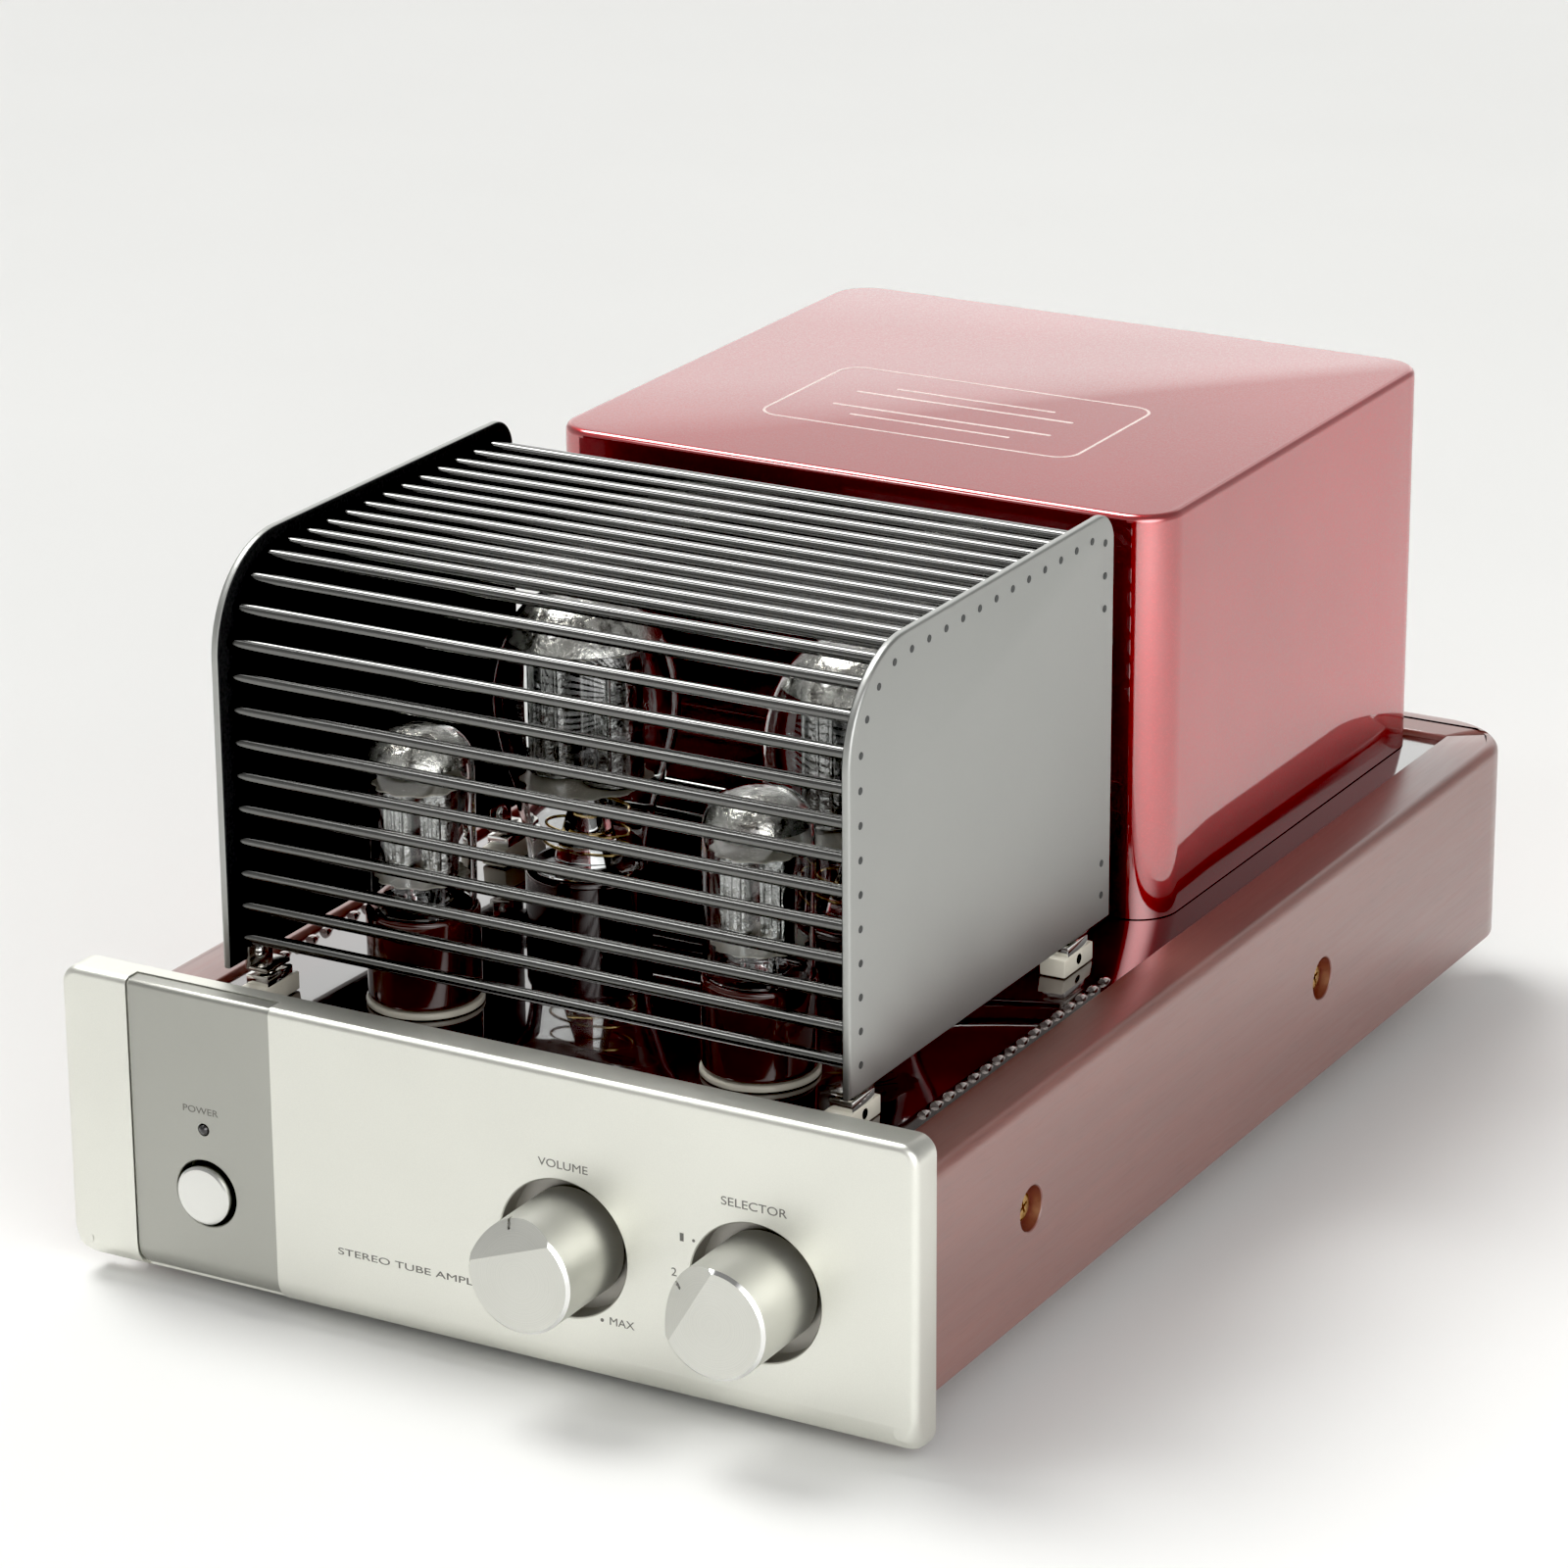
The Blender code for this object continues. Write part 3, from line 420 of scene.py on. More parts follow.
def satin_metal(name, colour, rough, grain=2600, depth=0.000012, spread=0.05):
    """Bead-blasted, anodised metal: a fine even grain under a faint cloudiness."""
    made = Finish(name, Metallic=1.0)
    cloud = made.noise(9.0, 3.0)
    fine = made.noise(grain, 2.0, 0.6)
    tone = made.maths("ADD", made.maths("MULTIPLY", cloud, 0.7), made.maths("MULTIPLY", fine, 0.3))
    dark, light = scaled(colour, 1 - spread), scaled(colour, 1 + spread)
    made.drive(Base_Color=made.ramp(tone, [(0.35, dark), (0.65, light)]))
    made.drive(Roughness=made.span(made.maths("ADD", cloud, fine), rough * 0.85, rough * 1.15, 0.6, 1.4))
    made.bump(fine, depth)
    return made.material


def turned_metal(name, colour, rough, axis):
    """Metal faced on a lathe: fine rings about the given axis point."""
    made = Finish(name, Metallic=1.0)
    shift = {0: made.spots, 1: (-axis[0], 0, -axis[1])}
    offset = made.node("VectorMath", shift, operation="ADD").outputs["Vector"]
    apart = made.node("SeparateXYZ", {"Vector": offset}).outputs
    squares = [made.maths("POWER", made.maths("ABSOLUTE", apart[key], 0), 2.0) for key in ("X", "Z")]
    radius = made.maths("SQRT", made.maths("ADD", *squares), 0)
    turned = {"W": radius, "Scale": 5200.0, "Detail": 2.0}
    rings = made.node("TexNoise", turned, noise_dimensions="1D").outputs["Fac"]
    cloud = made.noise(60.0, 2.0)
    made.drive(Base_Color=made.ramp(rings, [(0.3, scaled(colour, 0.93)), (0.7, scaled(colour, 1.05))]))
    made.drive(Roughness=made.span(made.maths("ADD", rings, cloud), rough * 0.8, rough * 1.2, 0.6, 1.4))
    made.bump(rings, 0.000010)
    return made.material


def polished_metal(name, colour, rough=0.08):
    made = Finish(name, Metallic=1.0)
    smear = made.noise(140.0, 4.0, 0.6)
    made.drive(Base_Color=made.ramp(smear, [(0.3, scaled(colour, 0.94)), (0.7, colour)]))
    made.drive(Roughness=made.span(smear, rough * 0.7, rough * 1.6, 0.3, 0.7))
    made.bump(made.noise(900.0, 2.0), 0.000004)
    return made.material


def mahogany(name, along):
    """Red-brown straight-grained wood under satin lacquer; the grain runs along one axis."""
    made = Finish(name, Coat_Weight=1.0, Coat_Roughness=0.36, Coat_IOR=2.0)
    long_way = [1.0, 1.0, 1.0]
    long_way["XYZ".index(along)] = 0.055
    broad = made.noise(1.0, 4.0, 0.55, made.stretched([70 * v for v in long_way]), 0.8)
    fine = made.noise(1.0, 3.0, 0.6, made.stretched([620 * v for v in long_way]), 0.3)
    pore = made.noise(1.0, 1.0, 0.5, made.stretched([1500 * v for v in long_way]))
    tone = made.maths("ADD", made.maths("MULTIPLY", broad, 0.6), made.maths("MULTIPLY", fine, 0.4))
    colour = made.ramp(tone, [(0.28, (0.165, 0.044, 0.031)), (0.48, (0.195, 0.054, 0.039)),
                              (0.62, (0.220, 0.064, 0.046)), (0.78, (0.250, 0.078, 0.056))])
    dots = made.ramp(pore, [(0.30, (0.55, 0.48, 0.45)), (0.42, (1, 1, 1))])
    made.drive(Base_Color=made.mix(0.35, colour, dots, "MULTIPLY"))
    made.drive(Roughness=made.span(fine, 0.30, 0.46, 0.3, 0.7))
    made.bump(made.maths("ADD", fine, pore), 0.00002)
    return made.material


def candy_red(name, gloss, depth):
    """Metallic red under a thick clear coat, with fine flake in its depth."""
    made = Finish(name, Metallic=0.92, Coat_Weight=1.0, Coat_Roughness=0.03, Coat_IOR=gloss)
    flake = made.node("TexVoronoi", {"Vector": made.spots, "Scale": 2300.0}, feature="F1").outputs["Color"]
    sparkle = made.node("SeparateColor", {"Color": flake}).outputs["Red"]
    cloud = made.noise(7.0, 3.0)
    # depth scales the red; the front and top copies of it use lower values as painted shade
    deep = made.ramp(cloud, [(0.35, scaled((0.42, 0.005, 0.010), depth)),
                             (0.65, scaled((0.50, 0.009, 0.018), depth))])
    bright = made.mix(1.0, deep, (1.4, 1.3, 1.3), "MULTIPLY")
    made.drive(Base_Color=made.mix(made.span(sparkle, 0.0, 0.5, 0.55, 1.0), deep, bright))
    made.drive(Roughness=made.span(sparkle, 0.30, 0.42))
    made.bump(made.noise(420.0, 2.0, 0.4), 0.000004)
    return made.material


def wine_gloss(name):
    """Very dark wine-red enamel that mirrors what stands on it."""
    made = Finish(name, Coat_Weight=1.0, Coat_Roughness=0.02, Coat_IOR=2.6)
    cloud = made.noise(11.0, 3.0)
    made.drive(Base_Color=made.ramp(cloud, [(0.35, (0.020, 0.004, 0.005)), (0.65, (0.028, 0.006, 0.007))]))
    made.drive(Roughness=made.span(made.noise(300.0, 2.0), 0.10, 0.16, 0.3, 0.7))
    made.bump(made.noise(160.0, 2.0, 0.4), 0.0000025)
    return made.material


def moulded(name, colour, rough, coat=0.0, grain=900.0, depth=0.00001):
    """Moulded plastic, rubber or ceramic with slight colour variation and a fine surface."""
    made = Finish(name, Coat_Weight=coat, Coat_Roughness=0.06)
    cloud = made.noise(45.0, 4.0, 0.6)
    fine = made.noise(grain, 2.0)
    made.drive(Base_Color=made.ramp(cloud, [(0.3, scaled(colour, 0.88)), (0.7, scaled(colour, 1.12))]))
    made.drive(Roughness=made.span(made.maths("ADD", fine, cloud), rough * 0.85, rough * 1.2, 0.6, 1.4))
    made.bump(fine, depth)
    return made.material


def blown_glass(name):
    made = Finish(name, Roughness=0.0, IOR=1.47, Transmission_Weight=1.0, Base_Color=(1, 1, 1, 1))
    waves = made.noise(70.0, 2.0, 0.4)
    made.drive(Base_Color=made.ramp(waves, [(0.3, (0.95, 0.97, 0.97)), (0.7, (1, 1, 1))]))
    made.bump(waves, 0.00002)
    return made.material


def getter_film(name):
    """The mirror-like flash fired onto the inside of a tube's crown, mottled by the glass behind it."""
    made = Finish(name, Metallic=0.85, Coat_Weight=1.0, Coat_Roughness=0.05, Coat_IOR=1.9)
    cloud = made.noise(190.0, 4.0, 0.6)
    made.drive(Base_Color=made.ramp(cloud, [(0.36, (0.30, 0.28, 0.25)), (0.50, (0.95, 0.93, 0.87))]))
    made.drive(Roughness=made.span(cloud, 0.10, 0.30, 0.3, 0.7))
    made.bump(cloud, 0.0012)
    return made.material


SILVER = satin_metal("satin_silver", (0.80, 0.80, 0.74), 0.40)
GREY = satin_metal("grey_anodised", (0.45, 0.45, 0.415), 0.42)
BAR = satin_metal("rod_gunmetal", (0.18, 0.18, 0.175), 0.17, depth=0.000004)
# painted shade: near-black finish for the inner faces of the cage plates, standing in for the shade inside
# the cage
INSIDE_PAINTED_SHADE = moulded("cage_inside_painted_shade", (0.004, 0.004, 0.0045), 0.80)
GUNMETAL = satin_metal("gunmetal", (0.44, 0.445, 0.43), 0.42, grain=1700, depth=0.00002)
# partly real, partly painted shade: near-black discs on the rod ends, the rods' own darker metal darkened
# further for the shade of the slight recess they sit in
ROD_END_TONE_AND_SHADE = moulded("rod_end_tone_and_shade", (0.035, 0.037, 0.037), 0.45)
CHROME = polished_metal("chrome", (0.88, 0.88, 0.86))
NICKEL = polished_metal("nickel", (0.72, 0.70, 0.66), 0.16)
GOLD = polished_metal("gold_plate", (0.88, 0.66, 0.32), 0.14)
BRASS = polished_metal("brass", (0.62, 0.40, 0.15), 0.22)
STEEL = satin_metal("plated_steel", (0.60, 0.60, 0.58), 0.38, grain=700, depth=0.00002, spread=0.12)
ELECTRODE = satin_metal("electrode_grey", (0.60, 0.60, 0.59), 0.22, grain=330, depth=0.0006, spread=0.30)
CORE = moulded("lamination_black", (0.03, 0.03, 0.032), 0.5, grain=500, depth=0.00004)
WOOD_Y = mahogany("mahogany_sides", "Y")
WOOD_X = mahogany("mahogany_rail", "X")
RED = candy_red("candy_red", 2.55, 0.96)
# painted shade: a darker, less glossy copy of the red for the cover's front face, standing in for the shade
# it gets behind the cage
RED_SHADED = candy_red("candy_red_front_painted_shade", 1.30, 0.32)
# painted shade: a darker, less glossy copy of the red for the cover's top, toning down how the light falls
# on it
RED_TOP_PAINTED_SHADE = candy_red("candy_red_top_painted_shade", 1.50, 0.66)
WINE = wine_gloss("wine_enamel")
REAR_PAINT = moulded("rear_wine_paint", (0.030, 0.006, 0.007), 0.38, coat=0.3)
GLASS = blown_glass("tube_glass")
GETTER = getter_film("getter_film")
BAKELITE = moulded("brown_bakelite", (0.060, 0.009, 0.006), 0.20, coat=1.0)
DARK_BASE = moulded("dark_base", (0.035, 0.014, 0.012), 0.22, coat=1.0)
CERAMIC = moulded("cream_ceramic", (0.78, 0.74, 0.63), 0.30, coat=0.6)
MICA = moulded("mica", (0.62, 0.58, 0.50), 0.25, coat=0.5)
PLASTIC = moulded("black_plastic", (0.022, 0.022, 0.023), 0.42)
RED_PLASTIC = moulded("red_plastic", (0.45, 0.012, 0.012), 0.30, coat=0.4)
RUBBER = moulded("rubber", (0.022, 0.022, 0.022), 0.75, grain=1400, depth=0.00003)
BOARD = moulded("circuit_board", (0.03, 0.16, 0.07), 0.4)
LAMP = moulded("lamp_lens", (0.02, 0.018, 0.02), 0.10, coat=1.0)
PRINT = moulded("grey_print", (0.16, 0.155, 0.14), 0.55)
EMBLEM = moulded("pale_print", (0.93, 0.74, 0.70), 0.40)
# painted shade: a darker copy of the satin metal for the knob pockets, standing in for the shade in these
# recesses
POCKET_PAINTED_SHADE = satin_metal("knob_pocket_painted_shade", (0.42, 0.405, 0.375), 0.45, grain=1700)
KNOB_FACE = {name: turned_metal(name + "_knob_metal", (0.70, 0.70, 0.655), 0.48, axis)
             for name, axis in KNOB_AXIS.items()}
BUTTON_METAL = satin_metal("button_metal", (0.78, 0.78, 0.75), 0.24, grain=3000, depth=0.000004)
# painted highlight: pale polished metal on the deck's louvres, which are pressed from the wine-red painted
# deck, so that they read as bright highlight dashes
VENT_PAINTED_HIGHLIGHT = polished_metal("vent_painted_highlight", (0.70, 0.64, 0.62), 0.10)

# ---------------------------------------------------------------- front panel
CHANNEL_LEFT, CHANNEL_RIGHT, CHANNEL_DEPTH = -0.1254, -0.0727, 0.0068
EDGE_SMALL, EDGE_WIDE, EDGE_HEIGHT = 0.0025, 0.0098, 0.012
KNOB_POCKET, KNOB_POCKET_DEPTH = 0.022, 0.008
SHAFT_HOLE, BUTTON_HOLE, LED_HOLE = 0.0045, 0.0110, 0.0021
HOLE_END = behind(0.02)
MOUTH = 0.004  # how far a cutter stands out of the surface that it cuts
BUTTON, LED = centre("power_button"), centre("power_led")


def panel_edge(point):
    """Rounding of the panel's front edge: wide along the bottom, small elsewhere."""
    lift = (point[1] - PANEL_LOW.z) / EDGE_HEIGHT
    return EDGE_SMALL + (EDGE_WIDE - EDGE_SMALL) * (1 - min(max(lift, 0), 1)) ** 1.4


def bore(radius, depth, chamfer=0.0):
    """Lathe profile of a hole's cutter, widened at its mouth by a chamfer."""
    profile = [(0, MOUTH), (radius + chamfer, MOUTH)]
    if chamfer:
        profile += [(radius + chamfer, 0), (radius, -chamfer)]
    return profile + [(radius, -depth), (0, -depth)]


def round_cutter(x, z, radius, start, end, chamfer=0.0, steps=72):
    """A cylinder cutter along Y from start to end."""
    return lathe(bore(radius, end - start, chamfer), steps, facing("FRONT", (x, start, z)))


def front_panel():
    low, high = PANEL_LOW, PANEL_HIGH
    outline = rounded((low.x, low.z), (high.x, high.z), 0.006, 8)
    dense = []
    for i, (x, z) in enumerate(outline):
        after = outline[(i + 1) % len(outline)]
        count = max(1, int(abs(after[1] - z) / 0.002))
        dense += [(x + (after[0] - x) * k / count, z + (after[1] - z) * k / count) for k in range(count)]
    bm = slab(dense, -high.y, -low.y, panel_edge, 0.0004, 7)
    panel = piece("panel", bm, SILVER, slot="satin_silver", replaces=["front_panel"], place=PLANES["FRONT"])
    cutters = [block(bmesh.new(), (CHANNEL_LEFT, behind(-0.01), low.z - 0.01),
                     (CHANNEL_RIGHT, behind(CHANNEL_DEPTH), high.z + 0.01), 0)]
    for x, z in KNOB_AXIS.values():
        cutters.append(round_cutter(x, z, KNOB_POCKET, FACE, behind(KNOB_POCKET_DEPTH), 0.0004, 96))
        cutters.append(round_cutter(x, z, SHAFT_HOLE, FACE, HOLE_END, 0, 32))
    cutters.append(round_cutter(BUTTON.x, BUTTON.z, BUTTON_HOLE, FACE, HOLE_END))
    cutters.append(round_cutter(LED.x, LED.z, LED_HOLE, FACE, HOLE_END, 0, 24))
    carve(panel, cutters)
    panel.data.materials.append(POCKET_PAINTED_SHADE)
    # faces inside each knob pocket get the painted shade
    for x, z in KNOB_AXIS.values():
        for face in panel.data.polygons:
            apart = math.hypot(face.center.x - x, face.center.z - z)
            if apart < KNOB_POCKET + 0.0001 and face.center.y > FACE + 0.0006:
                face.material_index = 1


def grey_strip():
    low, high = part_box("panel_inlay")
    face = low.y
    bottom_round, top_round = 0.0094, 0.0020
    outline = [(high.y, high.z)] + arc((face + top_round, high.z - top_round), top_round, 90, 180, 6)
    outline += arc((face + bottom_round, low.z + bottom_round), bottom_round, 180, 250, 12)
    outline = [point for point in outline if point[0] <= high.y + 1e-6]
    outline.append((high.y, outline[-1][1] - 0.0001))
    bm = slab(outline, low.x, high.x, 0.00015, 0.00015, 2)
    strip = piece("grey_strip", bm, GREY, slot="grey_inlay", replaces=["panel_inlay"], place=PLANES["RIGHT"])
    carve(strip, [round_cutter(BUTTON.x, BUTTON.z, BUTTON_HOLE, face, HOLE_END, 0.0003),
                  round_cutter(LED.x, LED.z, LED_HOLE, face, HOLE_END, 0, 24)])


def power_button():
    low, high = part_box("power_button")
    radius, length = (high.x - low.x) / 2, high.y - low.y
    profile = [(0, 0), (0.0045, -0.00008), (0.0075, -0.00030), (0.0086, -0.00045), (0.0088, -0.00050),
               (0.00955, -0.00105), (radius, -0.0013), (radius, -0.0109), (0.0039, -0.0110),
               (0.0039, -length), (0, -length)]
    bm = lathe(profile, 72, facing("FRONT", (BUTTON.x, low.y, BUTTON.z)))
    piece("power_button_cap", bm, BUTTON_METAL, "power_button", "polished_silver", ["power_button"], 25)
    low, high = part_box("power_led")
    radius = (high.x - low.x) / 2
    profile = [(0, 0), (0.0006, -0.00010), (0.0011, -0.00038), (0.0015, -0.0008), (radius, -0.0014),
               (radius, low.y - high.y), (0, low.y - high.y)]
    piece("lamp", lathe(profile, 32, facing("FRONT", (LED.x, low.y, LED.z))), LAMP,
          slot="dark_lamp", replaces=["power_led"])


KNOB_RADIUS, KNOB_CHAMFER = 0.0175, 0.0010
POINTER = {"volume": -20.0, "selector": -59.0}
FACET_START, FACET_ANGLE = 0.0084, 31.0


def knob(name):
    """A round knob: polished front chamfer, sloping facet towards its pointer, and a pointer notch."""
    x, z = KNOB_AXIS[name]
    low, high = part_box(name + "_knob")
    length, radius = high.y - low.y, KNOB_RADIUS
    profile = [(0, 0), (radius - KNOB_CHAMFER, 0), (radius, -KNOB_CHAMFER), (radius, -length + 0.0004),
               (radius - 0.0004, -length), (0.0034, -length), (0.0034, -0.013), (0, -0.013)]
    turn = Matrix.Translation((x, low.y, z)) @ Matrix.Rotation(math.radians(POINTER[name]), 4, "Y")
    made = piece(name + "_dial", lathe(profile, 128, turn @ PLANES["FRONT"]), KNOB_FACE[name], name,
                 "satin_silver", [name + "_knob"], 22)
    slope = Matrix.Translation((0, 0, FACET_START)) @ Matrix.Rotation(math.radians(-FACET_ANGLE), 4, "X")
    wedge = block(bmesh.new(), (-0.03, -0.03, 0), (0.03, 0, 0.04), 0, place=turn @ slope)
    notch_place = turn @ Matrix.Translation((0, 0.0054, radius - 0.0007))
    notch = block(bmesh.new(), (-0.00045, -0.004, -0.0022), (0.00045, 0.0018, 0.003), 0, place=notch_place)
    carve(made, [wedge, notch], 22)
    made.data.materials.append(CHROME)
    for face in made.data.polygons:
        outward = Vector((face.center.x - x, 0, face.center.z - z))
        on_rim = outward.length > radius - KNOB_CHAMFER
        if on_rim and 0.6 < -face.normal.y < 0.8 and face.normal.dot(outward.normalized()) > 0.5:
            face.material_index = 1
    # painted shade: a dark bar set in the pointer notch, standing in for the shade in the engraved groove
    drop = math.tan(math.radians(FACET_ANGLE))
    bm = block(bmesh.new(), (-0.00035, (radius - 0.0026 - FACET_START) * drop + 0.0005, radius - 0.0026),
               (0.00035, (radius - 0.0008 - FACET_START) * drop + 0.0014, radius - 0.0010), 0, place=turn)
    piece(name + "_pointer_painted_shade", bm, PRINT, name, "satin_silver")


PRINT_THICKNESS = 0.00006


def dot(name, dial, turn, ring, radius=0.0006):
    """A printed dot on a ring round a knob, at a turn in degrees from the top."""
    t = math.radians(turn)
    x, z = KNOB_AXIS[dial][0] + ring * math.sin(t), KNOB_AXIS[dial][1] + ring * math.cos(t)
    points = [(radius * math.cos(a), radius * math.sin(a)) for a in full_turn(16)]
    flat_shape(name, [points], PRINT_THICKNESS, PRINT, facing("FRONT", (x, FACE - PRINT_THICKNESS / 2, z)))


def printing():
    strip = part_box("panel_inlay")[0].y
    for name, words, x, y, z, height, width in (
        ("word_volume", "VOLUME", 0.0313, FACE, 0.0741, 0.0026, 0.0172),
        ("word_selector", "SELECTOR", 0.0962, FACE, 0.0746, 0.0027, 0.0220),
        ("word_max", "MAX", 0.0507, FACE, 0.0271, 0.0025, 0.0085),
        ("digit_1", "1", 0.0718, FACE, 0.0598, 0.0026, 0.0013),
        ("digit_2", "2", 0.0690, FACE, 0.0480, 0.0026, 0.0018),
        ("digit_3", "3", 0.0738, FACE, 0.0335, 0.0026, 0.0018),
        ("words_panel", "STEREO TUBE AMPLIFIER", -0.0200, FACE, 0.0290, 0.0022, 0.0600),
        ("word_power", "POWER", -0.0995, strip, 0.0650, 0.0022, 0.0130),
    ):
        lettering(name, words, height, width, facing("FRONT", (x, y - PRINT_THICKNESS / 2, z)))
    dot("volume_mark_0", "volume", -147, 0.0243)
    dot("volume_mark_10", "volume", 147, 0.0243)
    for number, turn in ((1, -59), (2, -90), (3, -122)):
        dot("selector_mark_%d" % number, "selector", turn, 0.0240, 0.0005)


# ---------------------------------------------------------------- wooden case
BOARD_ROUND, BOARD_EASE, BOARD_BOTTOM = 0.0040, 0.0007, 0.0008
CASE_CORNER = 0.026
RAIL_LOW, RAIL_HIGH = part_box("rear_rail")


def densify(outline, step):
    """More points along an outline's long straight runs."""
    points = []
    for i, here in enumerate(outline):
        after = outline[(i + 1) % len(outline)]
        count = max(1, int(math.dist(here, after) / step))
        points += [(here[0] + (after[0] - here[0]) * k / count, here[1] + (after[1] - here[1]) * k / count)
                   for k in range(count)]
    return points


def case_corner(outside, start, end):
    """Part of the rounded corner that a side board and the rail share."""
    middle = (outside - CASE_CORNER, RAIL_HIGH.y - CASE_CORNER)
    return arc(middle, CASE_CORNER, start, end, 12)


def board(word, side):
    low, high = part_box("side_board_" + word)
    inside, outside = sorted((abs(low.x), abs(high.x)))
    outline = [(inside, low.y), (outside, low.y)] + case_corner(outside, 0, 44.6)
    outline.append((inside, RAIL_LOW.y - 0.0002))
    if side < 0:
        outline = [(-x, y) for x, y in reversed(outline)]

    def rounding(point):
        return BOARD_ROUND if abs(point[0]) > inside + 0.003 and point[1] > low.y + 0.001 else BOARD_EASE

    bm = slab(densify(outline, 0.012), low.z, high.z, rounding, BOARD_BOTTOM, 5)
    made = piece("case_side_" + word, bm, WOOD_Y, slot="lacquered_mahogany", replaces=["side_board_" + word])
    cutters = []
    for number in (1, 2):
        screw = centre("board_screw_%s_%d" % (word, number))
        for radius, depth, chamfer in ((0.0072, 0.005, 0.0003), (0.0024, 0.03, 0)):
            profile = [(0, MOUTH), (radius + chamfer, MOUTH), (radius + chamfer, 0),
                       (radius, -chamfer - 1e-5), (radius, -depth), (0, -depth)]
            cutters.append(lathe(profile, 48, facing(word.upper(), (side * outside, screw.y, screw.z))))
    carve(made, cutters)


def rail():
    inside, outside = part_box("side_board_right")[0].x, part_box("side_board_right")[1].x
    right = [(inside - 0.0003, RAIL_LOW.y)] + case_corner(outside, 45.4, 90)
    outline = right + [(-x, y) for x, y in reversed(right)]

    def rounding(point):
        return BOARD_ROUND if point[1] > RAIL_LOW.y + 0.003 else BOARD_EASE

    bm = slab(densify(outline, 0.012), RAIL_LOW.z, RAIL_HIGH.z, rounding, BOARD_BOTTOM, 5)
    piece("case_rear_rail", bm, WOOD_X, slot="lacquered_mahogany", replaces=["rear_rail"])


def side_screw(word, number):
    """A brass pan-head screw with a cross recess."""
    node = "board_screw_%s_%d" % (word, number)
    low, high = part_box(node)
    length = high.x - low.x
    profile = soften([(0, 0), (0.0040, 0), (0.0055, -0.0011), (0.0055, -0.0019), (0.0019, -0.0019),
                      (0.0019, -length), (0, -length)], 0.0006)
    spot = (low + high) / 2
    place = facing(word.upper(), (high.x if word == "right" else low.x, spot.y, spot.z))
    made = piece("case_screw_%s_%d" % (word, number), lathe(profile, 40, place), BRASS,
                 slot="brass", replaces=[node])
    cross = [block(bmesh.new(), (-0.0024, -0.00045, -0.0012), (0.0024, 0.00045, 0.002), 0,
                   place=place @ Matrix.Rotation(math.radians(turn), 4, "Z")) for turn in (20, 110)]
    carve(made, cross, 30)


# ---------------------------------------------------------------- chassis
CHASSIS_WALL = 0.0016
VENT_COUNT, VENT_PITCH, VENT_FIRST, VENT_X = 16, 0.008, 0.0625, 0.1196


def chassis():
    low, high = CHASSIS_LOW, CHASSIS_HIGH
    outline = [(low.x, low.y), (high.x, low.y), (high.x, high.y), (low.x, high.y)]
    made = piece("chassis_box", slab(outline, low.z, high.z, 0.0010, 0.0002, 3), WINE,
                 slot="wine_red_paint", replaces=["chassis"])
    cutters = [block(bmesh.new(), (low.x + CHASSIS_WALL, low.y + CHASSIS_WALL, low.z - 0.01),
                     (high.x - CHASSIS_WALL, high.y + 0.01, high.z - CHASSIS_WALL), 0)]
    for word, side in SIDES:
        for kind, radius in (("driver", 0.0145), ("output", 0.0222)):
            spot = centre("%s_%s_socket" % (kind, word))
            cutters.append(lathe(bore(radius, 0.006), 64, facing("TOP", (spot.x, spot.y, DECK))))
    holes = [(centre(name + "_shaft"), 0.005) for name in KNOB_AXIS] + [(BUTTON, 0.005), (LED, 0.003)]
    for spot, radius in holes:
        cutters.append(round_cutter(spot.x, spot.z, radius, low.y, low.y + 0.006, 0, 24))
    carve(made, cutters, 30)


def vents(word, side):
    """Small hooded louvres pressed up out of the deck along one of its edges, given a pale polished finish
    as a painted highlight.
    """
    for count in range(VENT_COUNT):
        y = behind(VENT_FIRST + count * VENT_PITCH)
        rings = []
        for k in range(9):
            t = k / 8
            reach = math.sin(math.pi * min(t * 0.62 + 0.38, 1.0))
            width, height = 0.0016 * (0.35 + 0.65 * reach), 0.0020 * (0.12 + 0.88 * reach)
            at = y - 0.0026 + 0.0052 * t
            rings.append([(side * VENT_X + width * math.cos(a), at, DECK - 0.0002 + height * math.sin(a))
                          for a in (math.pi * i / 8 for i in range(9))])
        bm = bmesh.new()
        skin(bm, rings)
        piece("vent_%s_%02d" % (word, count + 1), bm, VENT_PAINTED_HIGHLIGHT, slot="wine_red_paint")


def foot(word, number):
    node = "foot_%s_%d" % (word, number)
    low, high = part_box(node)
    height = high.z - low.z
    profile = soften([(0, height), (0.0178, height), (0.0184, height - 0.0012), (0.0199, 0.0016),
                      (0.0186, 0), (0.0110, 0), (0.0102, 0.0022), (0, 0.0022)], 0.0008)
    spot = (low + high) / 2
    bm = lathe(profile, 56, facing("TOP", (spot.x, spot.y, low.z)))
    piece("rubber_foot_%s_%d" % (word, number), bm, RUBBER, slot="rubber", replaces=[node])


# ---------------------------------------------------------------- transformer cover
COVER_CORNER, COVER_EDGE, COVER_WALL = 0.0146, 0.0024, 0.002
EMBLEM_THICKNESS = 0.00004
EMBLEM_MIDDLE = -0.002


